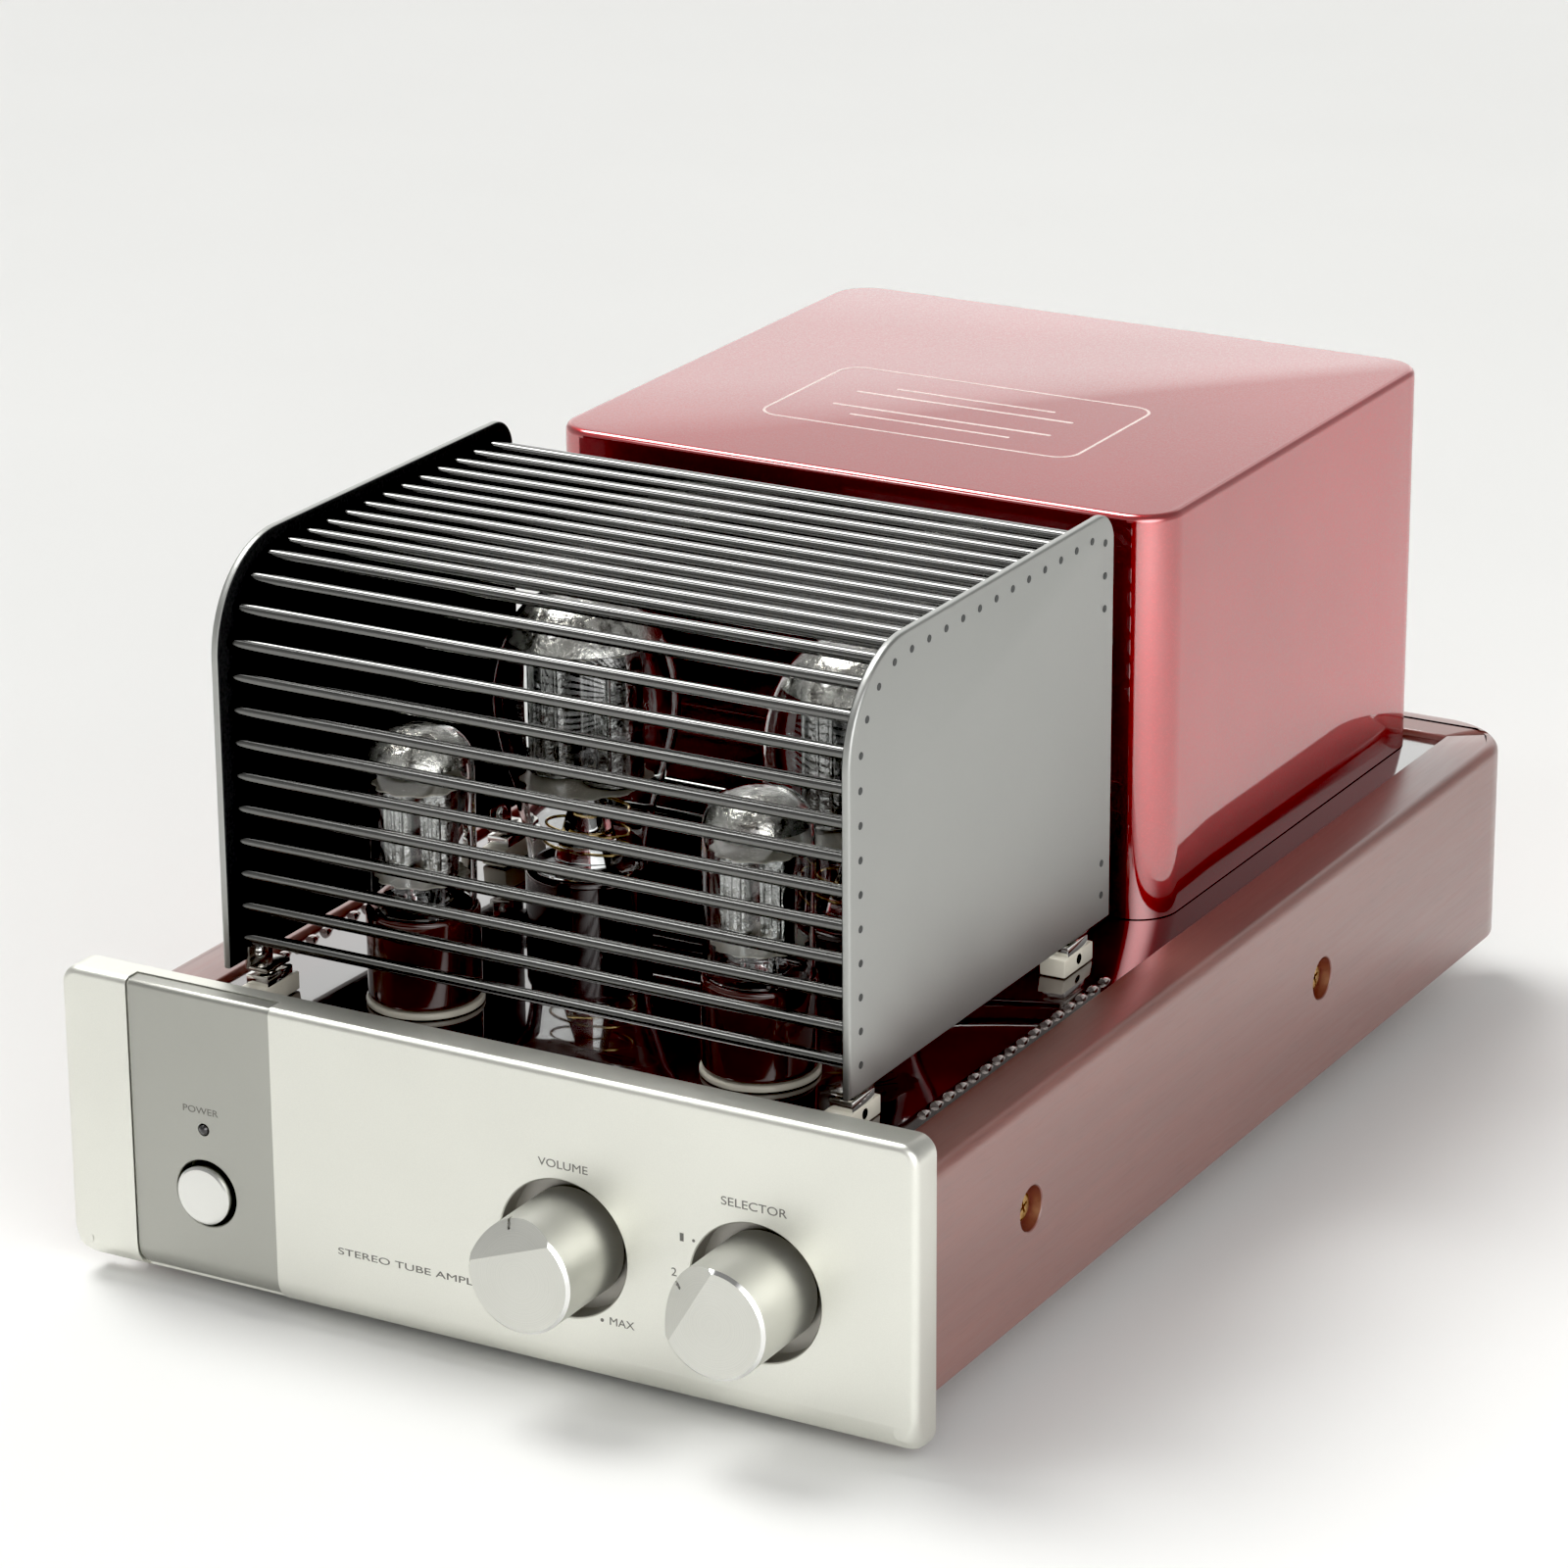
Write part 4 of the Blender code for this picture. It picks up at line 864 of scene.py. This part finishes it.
def cover():
    low, high = COVER_LOW, COVER_HIGH
    outline = densify(rounded((low.x, low.y), (high.x, high.y), COVER_CORNER, 14), 0.02)
    bm = slab(outline, low.z, high.z, COVER_EDGE, 0, 5, open_bottom=True)
    made = piece("cover_shell", bm, RED, slot="metallic_red", replaces=["transformer_cover"])
    shell = made.modifiers.new("wall", "SOLIDIFY")
    shell.thickness = COVER_WALL
    shell.offset = -1
    carve(made, [])
    made.data.materials.append(RED_SHADED)
    made.data.materials.append(RED_TOP_PAINTED_SHADE)
    for face in made.data.polygons:
        # flat front faces get the painted-shade copy of the red
        if face.normal.y < -0.985:
            face.material_index = 1
        # upward faces get the painted-shade copy for the top
        elif face.normal.z > 0.97:
            face.material_index = 2


def emblem():
    """A plain ruled cartouche on the cover's top."""
    place = facing("TOP", (0, 0, COVER_HIGH.z + EMBLEM_THICKNESS / 2))
    x0, x1, y0, y1 = -0.061, 0.057, behind(0.279), behind(0.345)
    line = 0.0010
    outer = rounded((x0, y0), (x1, y1), 0.008, 10)
    inner = rounded((x0 + line, y0 + line), (x1 - line, y1 - line), 0.0070, 10)
    flat_shape("emblem_frame", [outer, inner], EMBLEM_THICKNESS, EMBLEM, place)
    for number, width, y, thick in ((1, 0.060, 0.326, 0.0012), (2, 0.082, 0.3175, 0.0014),
                                    (3, 0.082, 0.3010, 0.0014), (4, 0.060, 0.2925, 0.0012)):
        rule = rounded((EMBLEM_MIDDLE - width / 2, behind(y) - thick / 2),
                       (EMBLEM_MIDDLE + width / 2, behind(y) + thick / 2), thick * 0.49, 3)
        flat_shape("emblem_rule_%d" % number, [rule], EMBLEM_THICKNESS, EMBLEM, place)


# ---------------------------------------------------------------- tube cage
CAGE_PLATE = 0.003
CAGE_INSIDE = CAGE_HIGH.x - CAGE_PLATE
FRONT_ROUND, REAR_ROUND = 0.0345, 0.010
ROD_INSET, ROD_COUNT, ROD_RADIUS = 0.0064, 28, 0.0020
ROD_FIRST_Z, ROD_LAST_Z = 0.1083, 0.2032
PLATE_BOTTOM = 0.0992


def cage_outline():
    front, rear, top = CAGE_LOW.y, CAGE_HIGH.y, CAGE_HIGH.z
    points = [(front, PLATE_BOTTOM), (rear, PLATE_BOTTOM)]
    points += arc((rear - REAR_ROUND, top - REAR_ROUND), REAR_ROUND, 0, 90, 10)
    return points + arc((front + FRONT_ROUND, top - FRONT_ROUND), FRONT_ROUND, 90, 180, 22)


def rod_spots():
    """Rod centres at an even pitch inside the plates' edge: up the front, over and down the rear."""
    front, rear = CAGE_LOW.y + ROD_INSET, CAGE_HIGH.y - ROD_INSET
    top = CAGE_HIGH.z - ROD_INSET
    wide, tight = FRONT_ROUND - ROD_INSET, REAR_ROUND - ROD_INSET
    runs = (top - wide - ROD_FIRST_Z, wide * math.pi / 2, rear - tight - front - wide, tight * math.pi / 2,
            top - tight - ROD_LAST_Z)
    pitch = sum(runs) / (ROD_COUNT - 1)
    spots = []
    for count in range(ROD_COUNT):
        along = min(count * pitch, sum(runs))
        run = 0
        while run < 4 and along > runs[run]:
            along -= runs[run]
            run += 1
        turn = along / (wide if run == 1 else tight)
        spots.append((
            (front, ROD_FIRST_Z + along),
            (front + wide - wide * math.cos(turn), top - wide + wide * math.sin(turn)),
            (front + wide + along, top),
            (rear - tight + tight * math.sin(turn), top - tight + tight * math.cos(turn)),
            (rear, top - tight - along),
        )[run])
    return spots + [(rear, ROD_FIRST_Z), (rear, ROD_FIRST_Z + pitch)]


def cage_piece(name, bm, finish, **more):
    return piece(name, bm, finish, "cage", "gunmetal", **more)


def cage_side(word, side):
    """One side plate with its rivets, tabs and pins."""
    low, high = (CAGE_INSIDE, CAGE_HIGH.x) if side > 0 else (-CAGE_HIGH.x, -CAGE_INSIDE)
    bm = slab(densify(cage_outline(), 0.02), low, high, 0.0009, 0.0009, 3)
    plate = cage_piece("cage_plate_" + word, bm, GUNMETAL, place=PLANES["RIGHT"],
                       replaces=["tube_cage"] if side > 0 else ())
    plate.data.materials.append(INSIDE_PAINTED_SHADE)
    # faces turned into the cage get the painted shade
    for face in plate.data.polygons:
        if face.normal.x * side < -0.5:
            face.material_index = 1
    # the rod-end discs below carry the rods' darker metal and painted shade of their recess
    rivet = [(0, 0.00012), (0.00115, 0.00012), (0.0013, -0.0003), (0, -0.0003)]
    for count, (y, z) in enumerate(rod_spots()):
        place = facing(word.upper(), (side * CAGE_HIGH.x, y, z))
        cage_piece("cage_rivet_%s_%02d" % (word, count + 1), lathe(rivet, 20, place), ROD_END_TONE_AND_SHADE)
    for number, distance in ((1, 0.046), (2, 0.187)):
        cage_lug("%s_%d" % (word, number), side, behind(distance))


def cage_lug(ending, side, y):
    """Bent tab inside the cage's lower corner, screwed on, with a pin that drops into its socket."""
    bm = bmesh.new()
    block(bm, (CAGE_INSIDE - 0.0016, y - 0.0065, 0.0965), (CAGE_INSIDE + 0.0002, y + 0.0065, 0.1042), 0.0004)
    block(bm, (CAGE_INSIDE - 0.0080, y - 0.0065, 0.0962), (CAGE_INSIDE - 0.0006, y + 0.0065, 0.0977), 0.0004)
    if side < 0:
        bm.transform(Matrix.Scale(-1, 4, (1, 0, 0)))
    cage_piece("cage_tab_" + ending, bm, NICKEL)
    profile = soften([(0, 0.0014), (0.0018, 0.0014), (0.0026, 0.0006), (0.0026, 0), (0, 0)], 0.0003)
    place = facing("LEFT" if side > 0 else "RIGHT", (side * (CAGE_INSIDE - 0.0016), y, 0.1010))
    cage_piece("cage_tab_screw_" + ending, lathe(profile, 24, place), CHROME)
    profile = soften([(0, 0.0966), (0.0019, 0.0966), (0.0019, 0.0902), (0.0012, 0.0892), (0, 0.0892)],
                     0.0003)
    cage_piece("cage_pin_" + ending, lathe(profile, 24, Matrix.Translation((side * 0.1035, y, 0))), CHROME)


def cage_rods():
    for count, (y, z) in enumerate(rod_spots()):
        ends = [(-CAGE_INSIDE - 0.0004, y, z), (CAGE_INSIDE + 0.0004, y, z)]
        cage_piece("cage_rod_%02d" % (count + 1), tube(bmesh.new(), ends, ROD_RADIUS, 20), BAR)


def cage_socket(word, side, number):
    """A ceramic post with a bored metal cap and a screw in its outer face."""
    ending = "%s_%d" % (word, number)
    low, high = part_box("cage_socket_" + ending)
    spot = (low + high) / 2
    bm = block(bmesh.new(), low, (high.x, high.y, high.z - 0.0035), 0.0006)
    post = piece("post_" + ending, bm, CERAMIC, slot="cream_ceramic", replaces=["cage_socket_" + ending])
    bm = block(bmesh.new(), (low.x + 0.0004, low.y + 0.003, high.z - 0.0040),
               (high.x - 0.0004, high.y - 0.003, high.z - 0.0002), 0.0005)
    cap = piece("post_cap_" + ending, bm, CHROME, slot="cream_ceramic")
    for target in (post, cap):
        carve(target, [lathe(bore(0.0025, 0.0075), 28, facing("TOP", (spot.x, spot.y, high.z)))], 30)
    profile = soften([(0, 0.0009), (0.0020, 0.0009), (0.0028, 0.0003), (0.0028, -0.0004), (0, -0.0004)],
                     0.0003)
    edge = high.x if side > 0 else low.x
    place = facing(word.upper(), (edge - side * 0.0009, spot.y, low.z + 0.0035))
    piece("post_screw_" + ending, lathe(profile, 28, place), CHROME, slot="cream_ceramic")


# ---------------------------------------------------------------- tubes
def smooth_curve(points, steps):
    """Catmull-Rom points through (radius, height) knots."""
    knots = [Vector(p) for p in points]
    knots = [knots[0] * 2 - knots[1]] + knots + [knots[-1] * 2 - knots[-2]]
    made = []
    for i in range(1, len(knots) - 2):
        a, b, c, d = knots[i - 1: i + 3]
        for t in (k / steps for k in range(steps)):
            spot = 0.5 * (2 * b + (c - a) * t + (2 * a - 5 * b + 4 * c - d) * t ** 2
                          + (3 * b - a - 3 * c + d) * t ** 3)
            made.append((max(spot.x, 0.0), spot.y))
    made.append(tuple(knots[-2]))
    return made


def envelope(prefix, profile, wall, place):
    """A blown glass shell with an even wall, closed round its lower rim; gives back its inside."""
    inner = []
    for i, (r, h) in enumerate(profile):
        before, after = Vector(profile[max(i - 1, 0)]), Vector(profile[min(i + 1, len(profile) - 1)])
        along = (after - before).normalized()
        spot = Vector((r, h)) + Vector((along.y, -along.x)) * wall
        inner.append((0.0 if r < TINY else max(spot.x, 0.0), spot.y))
    piece(prefix + "_envelope", lathe(profile + inner[::-1], 64, place), GLASS,
          slot="clear_glass", replaces=[prefix + "_glass"])
    return inner


def getter(prefix, inner, start, end, place):
    """The getter's film on the inside of the glass between two heights."""
    band = [(r, h) for r, h in inner if start <= h <= end]
    shrunk = [(max(r - 0.00012, 0.0), h - 0.00012) for r, h in band]
    deeper = [(max(r - 0.00030, 0.0), h - 0.00030) for r, h in band]
    piece(prefix + "_getter", lathe(shrunk + deeper[::-1], 56, place), GETTER, slot="grey_plates")


def merge(bm, part, place):
    """Moves one mesh and adds it to another."""
    mesh = bpy.data.meshes.new("part")
    part.to_mesh(mesh)
    part.free()
    mesh.transform(place)
    bm.from_mesh(mesh)
    bpy.data.meshes.remove(mesh)


def anode(bm, place, width, depth, low, high):
    """A flattened electrode box with pressed ribs."""
    outline = rounded((-width, -depth), (width, depth), min(width, depth) * 0.8, 6)
    merge(bm, slab(outline, low, high, 0.0002, 0.0002, 1), place)
    for sign in (-1, 1):
        for share in (-0.55, 0.0, 0.55):
            block(bm, (width * share - 0.0006, sign * depth - 0.0007, low + 0.003),
                  (width * share + 0.0006, sign * depth + 0.0007, high - 0.003), 0.0004, place=place)


def mica_disc(bm, place, radius, height):
    """A mica spacer with a toothed rim."""
    outline = []
    for k, t in enumerate(full_turn(MICA_TEETH * 4)):
        r = radius if k % 4 in (0, 1) else radius * 0.93
        outline.append((r * math.cos(t), r * math.sin(t)))
    half = MICA_THICKNESS / 2
    merge(bm, slab(outline, height - half, height + half, 0.00005, 0.00005, 1), place)


def electrodes(prefix, place, rim, top, sizes):
    """Plates, spacers, support rods, getter holder and stem inside an envelope."""
    def wire(points, radius, sides=8):
        tube(bm, [place @ Vector(point) for point in points], radius, sides)

    low, high = rim + sizes["above_rim"], top - sizes["below_top"]
    bm = bmesh.new()
    for side in (-1, 1):
        anode(bm, place @ Matrix.Translation((side * sizes["apart"], 0, 0)), *sizes["anode"], low, high)
    piece(prefix + "_anodes", bm, ELECTRODE, slot="grey_plates", replaces=[prefix + "_plates"])
    bm = bmesh.new()
    for height in (low - 0.0010, high + 0.0010):
        mica_disc(bm, place, sizes["mica"], height)
    piece(prefix + "_micas", bm, MICA, slot="grey_plates")
    bm = bmesh.new()
    reach = sizes["mica"] * 0.72
    stem_top = rim + sizes["stem"]
    for k in range(6):
        t = math.pi / 6 + k * math.pi / 3
        foot_at = (0.0045 * math.cos(t), 0.0045 * math.sin(t))
        wide = (reach * math.cos(t), reach * 0.55 * math.sin(t))
        wire(((*foot_at, stem_top - 0.002), (*foot_at, stem_top + 0.0008),
              (*wide, low - 0.0035), (*wide, low - 0.0014)), 0.0004)
    for x in (-reach, reach):
        wire(((x, 0, low - 0.003), (x, 0, high + 0.004)), 0.0006, 10)
    wire([(0.0045 * math.cos(t), 0.0045 * math.sin(t), high + 0.0052) for t in full_turn(20)], 0.0005)
    wire(((0.0045, 0, high + 0.0052), (0.0050, 0, high + 0.001)), 0.0004)
    piece(prefix + "_supports", bm, NICKEL, slot="grey_plates")
    stem_foot = sizes["stem_foot"]
    profile = soften([(0, stem_top), (0.0050, stem_top - 0.0008), (0.0058, stem_top - 0.006),
                      (stem_foot, rim + 0.0022), (stem_foot, rim + 0.0008), (0, rim + 0.0008)], 0.0010)
    piece(prefix + "_stem", lathe(profile, 40, place), GLASS, slot="clear_glass")


MICA_TEETH, MICA_THICKNESS = 12, 0.0005
DRIVER_SIZES = {"above_rim": 0.0110, "below_top": 0.0200, "apart": 0.0068, "anode": (0.0052, 0.0050),
                "mica": 0.0148, "stem": 0.0070, "stem_foot": 0.0090}
OUTPUT_SIZES = {"above_rim": 0.0300, "below_top": 0.0185, "apart": 0.0098, "anode": (0.0088, 0.0100),
                "mica": 0.0218, "stem": 0.0260, "stem_foot": 0.0110}


def glass_place(prefix):
    """A tube's upright axis, and the heights of its glass rim and top."""
    low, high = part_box(prefix + "_glass")
    spot = (low + high) / 2
    return Matrix.Translation((spot.x, spot.y, 0)), low.z, high.z


def driver_tube(word):
    prefix = "driver_" + word
    place, rim, top = glass_place(prefix)
    profile = smooth_curve([(0, top), (0.0060, top - 0.0008), (0.0120, top - 0.0034), (0.0160, top - 0.0082),
                            (0.0171, top - 0.0145), (0.0171, top - 0.030), (0.0171, rim + 0.012),
                            (0.0170, rim + 0.004), (0.0164, rim)], 5)
    getter(prefix, envelope(prefix, profile, 0.0009, place), top - 0.0125, top, place)
    electrodes(prefix, place, rim, top, DRIVER_SIZES)
    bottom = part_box(prefix + "_base")[0].z
    foot_z = DECK + 0.0026
    profile = soften([(0, rim - 0.0020), (0.0167, rim - 0.0020), (0.0168, rim - 0.0003),
                      (0.0173, rim - 0.0003), (0.0179, rim - 0.0014), (0.0179, foot_z + 0.0012),
                      (0.0174, foot_z), (0.0040, foot_z), (0.0040, bottom), (0, bottom)], 0.0006)
    piece(prefix + "_collar", lathe(profile, 64, place), BAKELITE, slot="brown_bakelite",
          replaces=[prefix + "_base"])
    low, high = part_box(prefix + "_socket")
    profile = soften([(0.0180, high.z), (0.0186, high.z - 0.0006), (0.0186, DECK + 0.0003),
                      (0.0137, DECK + 0.0003), (0.0137, low.z), (0.0048, low.z), (0.0048, high.z - 0.0001)],
                     0.0004)
    piece(prefix + "_seat", lathe(profile, 64, place), CERAMIC, slot="cream_ceramic",
          replaces=[prefix + "_socket"])


def output_tube(word):
    prefix = "output_" + word
    place, rim, top = glass_place(prefix)
    profile = smooth_curve([(0, top), (0.0100, top - 0.0012), (0.0170, top - 0.0046), (0.0222, top - 0.0100),
                            (0.0262, top - 0.0170), (0.0292, top - 0.0255), (0.0306, top - 0.0345),
                            (0.0303, top - 0.0435), (0.0283, top - 0.0535), (0.0249, top - 0.0650),
                            (0.0217, top - 0.0760), (0.0199, top - 0.0850), (0.0191, rim)], 5)
    getter(prefix, envelope(prefix, profile, 0.0010, place), top - 0.0160, top, place)
    electrodes(prefix, place, rim, top, OUTPUT_SIZES)
    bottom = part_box(prefix + "_base")[0].z
    profile = soften([(0, rim - 0.0020), (0.0176, rim - 0.0020), (0.0178, rim - 0.0004),
                      (0.0196, rim - 0.0004), (0.0204, rim - 0.0020), (0.0204, 0.0502), (0.0198, 0.0494),
                      (0.0040, 0.0494), (0.0040, bottom), (0, bottom)], 0.0006)
    piece(prefix + "_collar", lathe(profile, 64, place), DARK_BASE, slot="black_plastic",
          replaces=[prefix + "_base"])
    low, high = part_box(prefix + "_socket")
    profile = soften([(0.0289, high.z), (0.0289, high.z - 0.004), (0.0199, high.z - 0.004), (0.0199, low.z),
                      (0.0047, low.z), (0.0047, high.z)], 0.0004)
    piece(prefix + "_seat", lathe(profile, 56, place), CERAMIC, slot="cream_ceramic",
          replaces=[prefix + "_socket"])
    bm = bmesh.new()
    for height, radius in ((rim + 0.0060, 0.0160), (rim + 0.0120, 0.0150), (rim + 0.0200, 0.0150)):
        turns = full_turn(24) + [2 * math.pi]
        ring = [place @ Vector((radius * math.cos(t), radius * 0.55 * math.sin(t), height)) for t in turns]
        tube(bm, ring, 0.0005, 8)
    piece(prefix + "_springs", bm, GOLD, slot="grey_plates")


# ---------------------------------------------------------------- rear connections
JACK_PLATE = 0.0026
CAP_FLUTES, CAP_GRIP = 16, 0.0052


def carry(node, finish):
    """A CAD node that stays as it is, with a finished material."""
    target = frame["nodes"][node]
    target.data.materials.clear()
    target.data.materials.append(finish)


def input_jacks():
    """Gold barrels on a black plate."""
    jacks = frame["nodes"]["input_jacks"]
    jacks.data.materials.append(PLASTIC)
    for face in jacks.data.polygons:
        face.material_index = int((jacks.matrix_world @ face.center).y < REAR + JACK_PLATE)


def terminal_cap(number):
    """A fluted screw cap, red or black."""
    node = "terminal_cap_%d" % number
    finish, slot = (RED_PLASTIC, "red_plastic") if number % 2 else (PLASTIC, "black_plastic")
    low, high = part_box(node)
    spot, length = (low + high) / 2, high.y - low.y
    profile = soften([(0.0013, 0), (0.0013, -0.0018), (0.0028, -0.0018), (0.0028, -length),
                      (0.0049, -length), (0.0049, -0.0125), (0.0060, -0.0118), (0.0062, -0.0010),
                      (0.0054, 0)], 0.0004)

    def flutes(radius, turn):
        if radius > CAP_GRIP:
            radius += 0.00018 * math.cos(CAP_FLUTES * turn) - 0.0002
        return radius

    bm = lathe(profile, 96, facing("REAR", (spot.x, high.y, spot.z)), flutes)
    piece("post_nut_%d" % number, bm, finish, node, slot, [node], 30)


# ---------------------------------------------------------------- the amplifier
front_panel()
grey_strip()
power_button()
for dial in KNOB_AXIS:
    knob(dial)
printing()
for word, side in SIDES:
    board(word, side)
rail()
for word, side in SIDES:
    side_screw(word, 1)
    side_screw(word, 2)
chassis()
for word, side in SIDES:
    vents(word, side)
for word, side in SIDES:
    foot(word, 1)
    foot(word, 2)
cover()
emblem()
for word, side in reversed(SIDES):
    cage_side(word, side)
cage_rods()
for word, side in SIDES:
    cage_socket(word, side, 1)
    cage_socket(word, side, 2)
for word, side in SIDES:
    driver_tube(word)
    output_tube(word)
for node, finish in (
    ("power_switch", PLASTIC), ("volume_shaft", STEEL), ("selector_shaft", STEEL), ("bottom_cover", STEEL),
    ("power_transformer", CORE), ("output_transformer_left", CORE), ("output_transformer_right", CORE),
    ("rear_plate", REAR_PAINT), ("mains_inlet", PLASTIC), ("fuse_holder", PLASTIC), ("fuse_cap", PLASTIC),
    ("input_jacks", GOLD), ("terminal_block", PLASTIC), ("volume_pot", STEEL), ("selector_switch", PLASTIC),
    ("circuit_board", BOARD),
):
    carry(node, finish)
input_jacks()
for number in range(1, 5):
    terminal_cap(number)

# ---------------------------------------------------------------- studio
WORLD_OVERHEAD = 0.26
WORLD_LOBES = (  # direction, cosine where it starts, cosine where it is full, strength
    ((0, 0, 1), 0.75, -0.05, 0.26),
    ((-0.42, 0.86, 0.30), 0.80, 1.0, 0.90),
    ((-0.44, 0.15, 0.88), 0.95, 1.0, 13.0),
)
LIGHTS = (  # name, place, target, size, power
    ("front_right", (1.05, -0.98, 0.66), (0.10, -0.2, 0.05), (2.6, 1.8), 49),
    ("front_left", (-0.75, -0.90, 1.35), (0.0, -0.1, 0.15), (0.50, 0.36), 6),
)
CAMERA_SPOT, CAMERA_TARGET = (0.8542, -1.53985, 0.7564), (0.0225, -0.06855, 0.1450)
CAMERA_LENS, CAMERA_ROLL = 131.59, -0.39
BLACK_LEVEL = 0.016


def aim(holder, spot, target, roll=0.0):
    holder.location = spot
    holder.rotation_mode = "QUATERNION"
    look = (Vector(target) - Vector(spot)).to_track_quat("-Z", "Y")
    holder.rotation_quaternion = look @ Matrix.Rotation(math.radians(roll), 3, "Z").to_quaternion()


def fall_off(tree, value, *limits):
    """A smooth step between limits: from, to, and the two results."""
    step = tree.nodes.new("ShaderNodeMapRange")
    step.interpolation_type = "SMOOTHSTEP"
    for key, limit in zip(("From Min", "From Max", "To Min", "To Max"), limits):
        step.inputs[key].default_value = limit
    tree.links.new(value, step.inputs["Value"])
    return step.outputs["Result"]


def vector_maths(tree, operation, first, second):
    made = tree.nodes.new("ShaderNodeVectorMath")
    made.operation = operation
    tree.links.new(first, made.inputs[0])
    made.inputs[1].default_value = second
    return made.outputs["Value"]


def soften_edges(light):
    """Let an area light fade out towards its edges, so that its mirror image has no hard outline."""
    light.use_nodes = True
    tree = light.node_tree
    across = tree.nodes.new("ShaderNodeNewGeometry").outputs["Parametric"]
    middle = vector_maths(tree, "DISTANCE", across, (0.5, 0.5, 0.0))
    tree.links.new(fall_off(tree, middle, 0.05, 0.5, 1.0, 0.0), tree.nodes["Emission"].inputs["Strength"])


def floor():
    mesh = bpy.data.meshes.new("floor")
    bm = bmesh.new()
    bmesh.ops.create_grid(bm, x_segments=1, y_segments=1, size=9.0)
    bm.to_mesh(mesh)
    bm.free()
    pale = Finish("pale_floor", Roughness=0.9)
    tones = [(0.3, (0.86, 0.86, 0.85)), (0.7, (0.88, 0.88, 0.87))]
    pale.drive(Base_Color=pale.ramp(pale.noise(3.0, 2.0), tones))
    mesh.materials.append(pale.material)
    placed("floor", mesh)


def world():
    made = bpy.data.worlds.new("studio")
    bpy.context.scene.world = made
    made.use_nodes = True
    tree = made.node_tree
    around = tree.nodes.new("ShaderNodeTexCoord").outputs["Generated"]
    background = tree.nodes["Background"].inputs
    level = None
    for way, start, full, strength in WORLD_LOBES:
        along = vector_maths(tree, "DOT_PRODUCT", around, Vector(way).normalized())
        total = tree.nodes.new("ShaderNodeMath")
        tree.links.new(fall_off(tree, along, start, full, 0.0, strength), total.inputs[0])
        if level is None:
            total.inputs[1].default_value = WORLD_OVERHEAD
        else:
            tree.links.new(level, total.inputs[1])
        level = total.outputs["Value"]
    background["Color"].default_value = (1.0, 1.0, 0.985, 1)
    tree.links.new(level, background["Strength"])


def lights():
    for name, spot, target, size, power in LIGHTS:
        light = bpy.data.lights.new(name, "AREA")
        light.shape = "RECTANGLE"
        light.size, light.size_y = size
        light.energy = power
        soften_edges(light)
        aim(placed(name, light), spot, target)


def camera():
    data = bpy.data.cameras.new("camera")
    data.sensor_width = 36.0
    data.lens = CAMERA_LENS
    data.clip_start, data.clip_end = 0.05, 30
    holder = placed("camera", data)
    aim(holder, CAMERA_SPOT, CAMERA_TARGET, CAMERA_ROLL)
    bpy.context.scene.camera = holder


floor()
world()
lights()
camera()
view = bpy.context.scene.view_settings
view.view_transform = "Standard"
view.use_curve_mapping = True
view.curve_mapping.black_level = (BLACK_LEVEL, BLACK_LEVEL, BLACK_LEVEL)
view.curve_mapping.update()
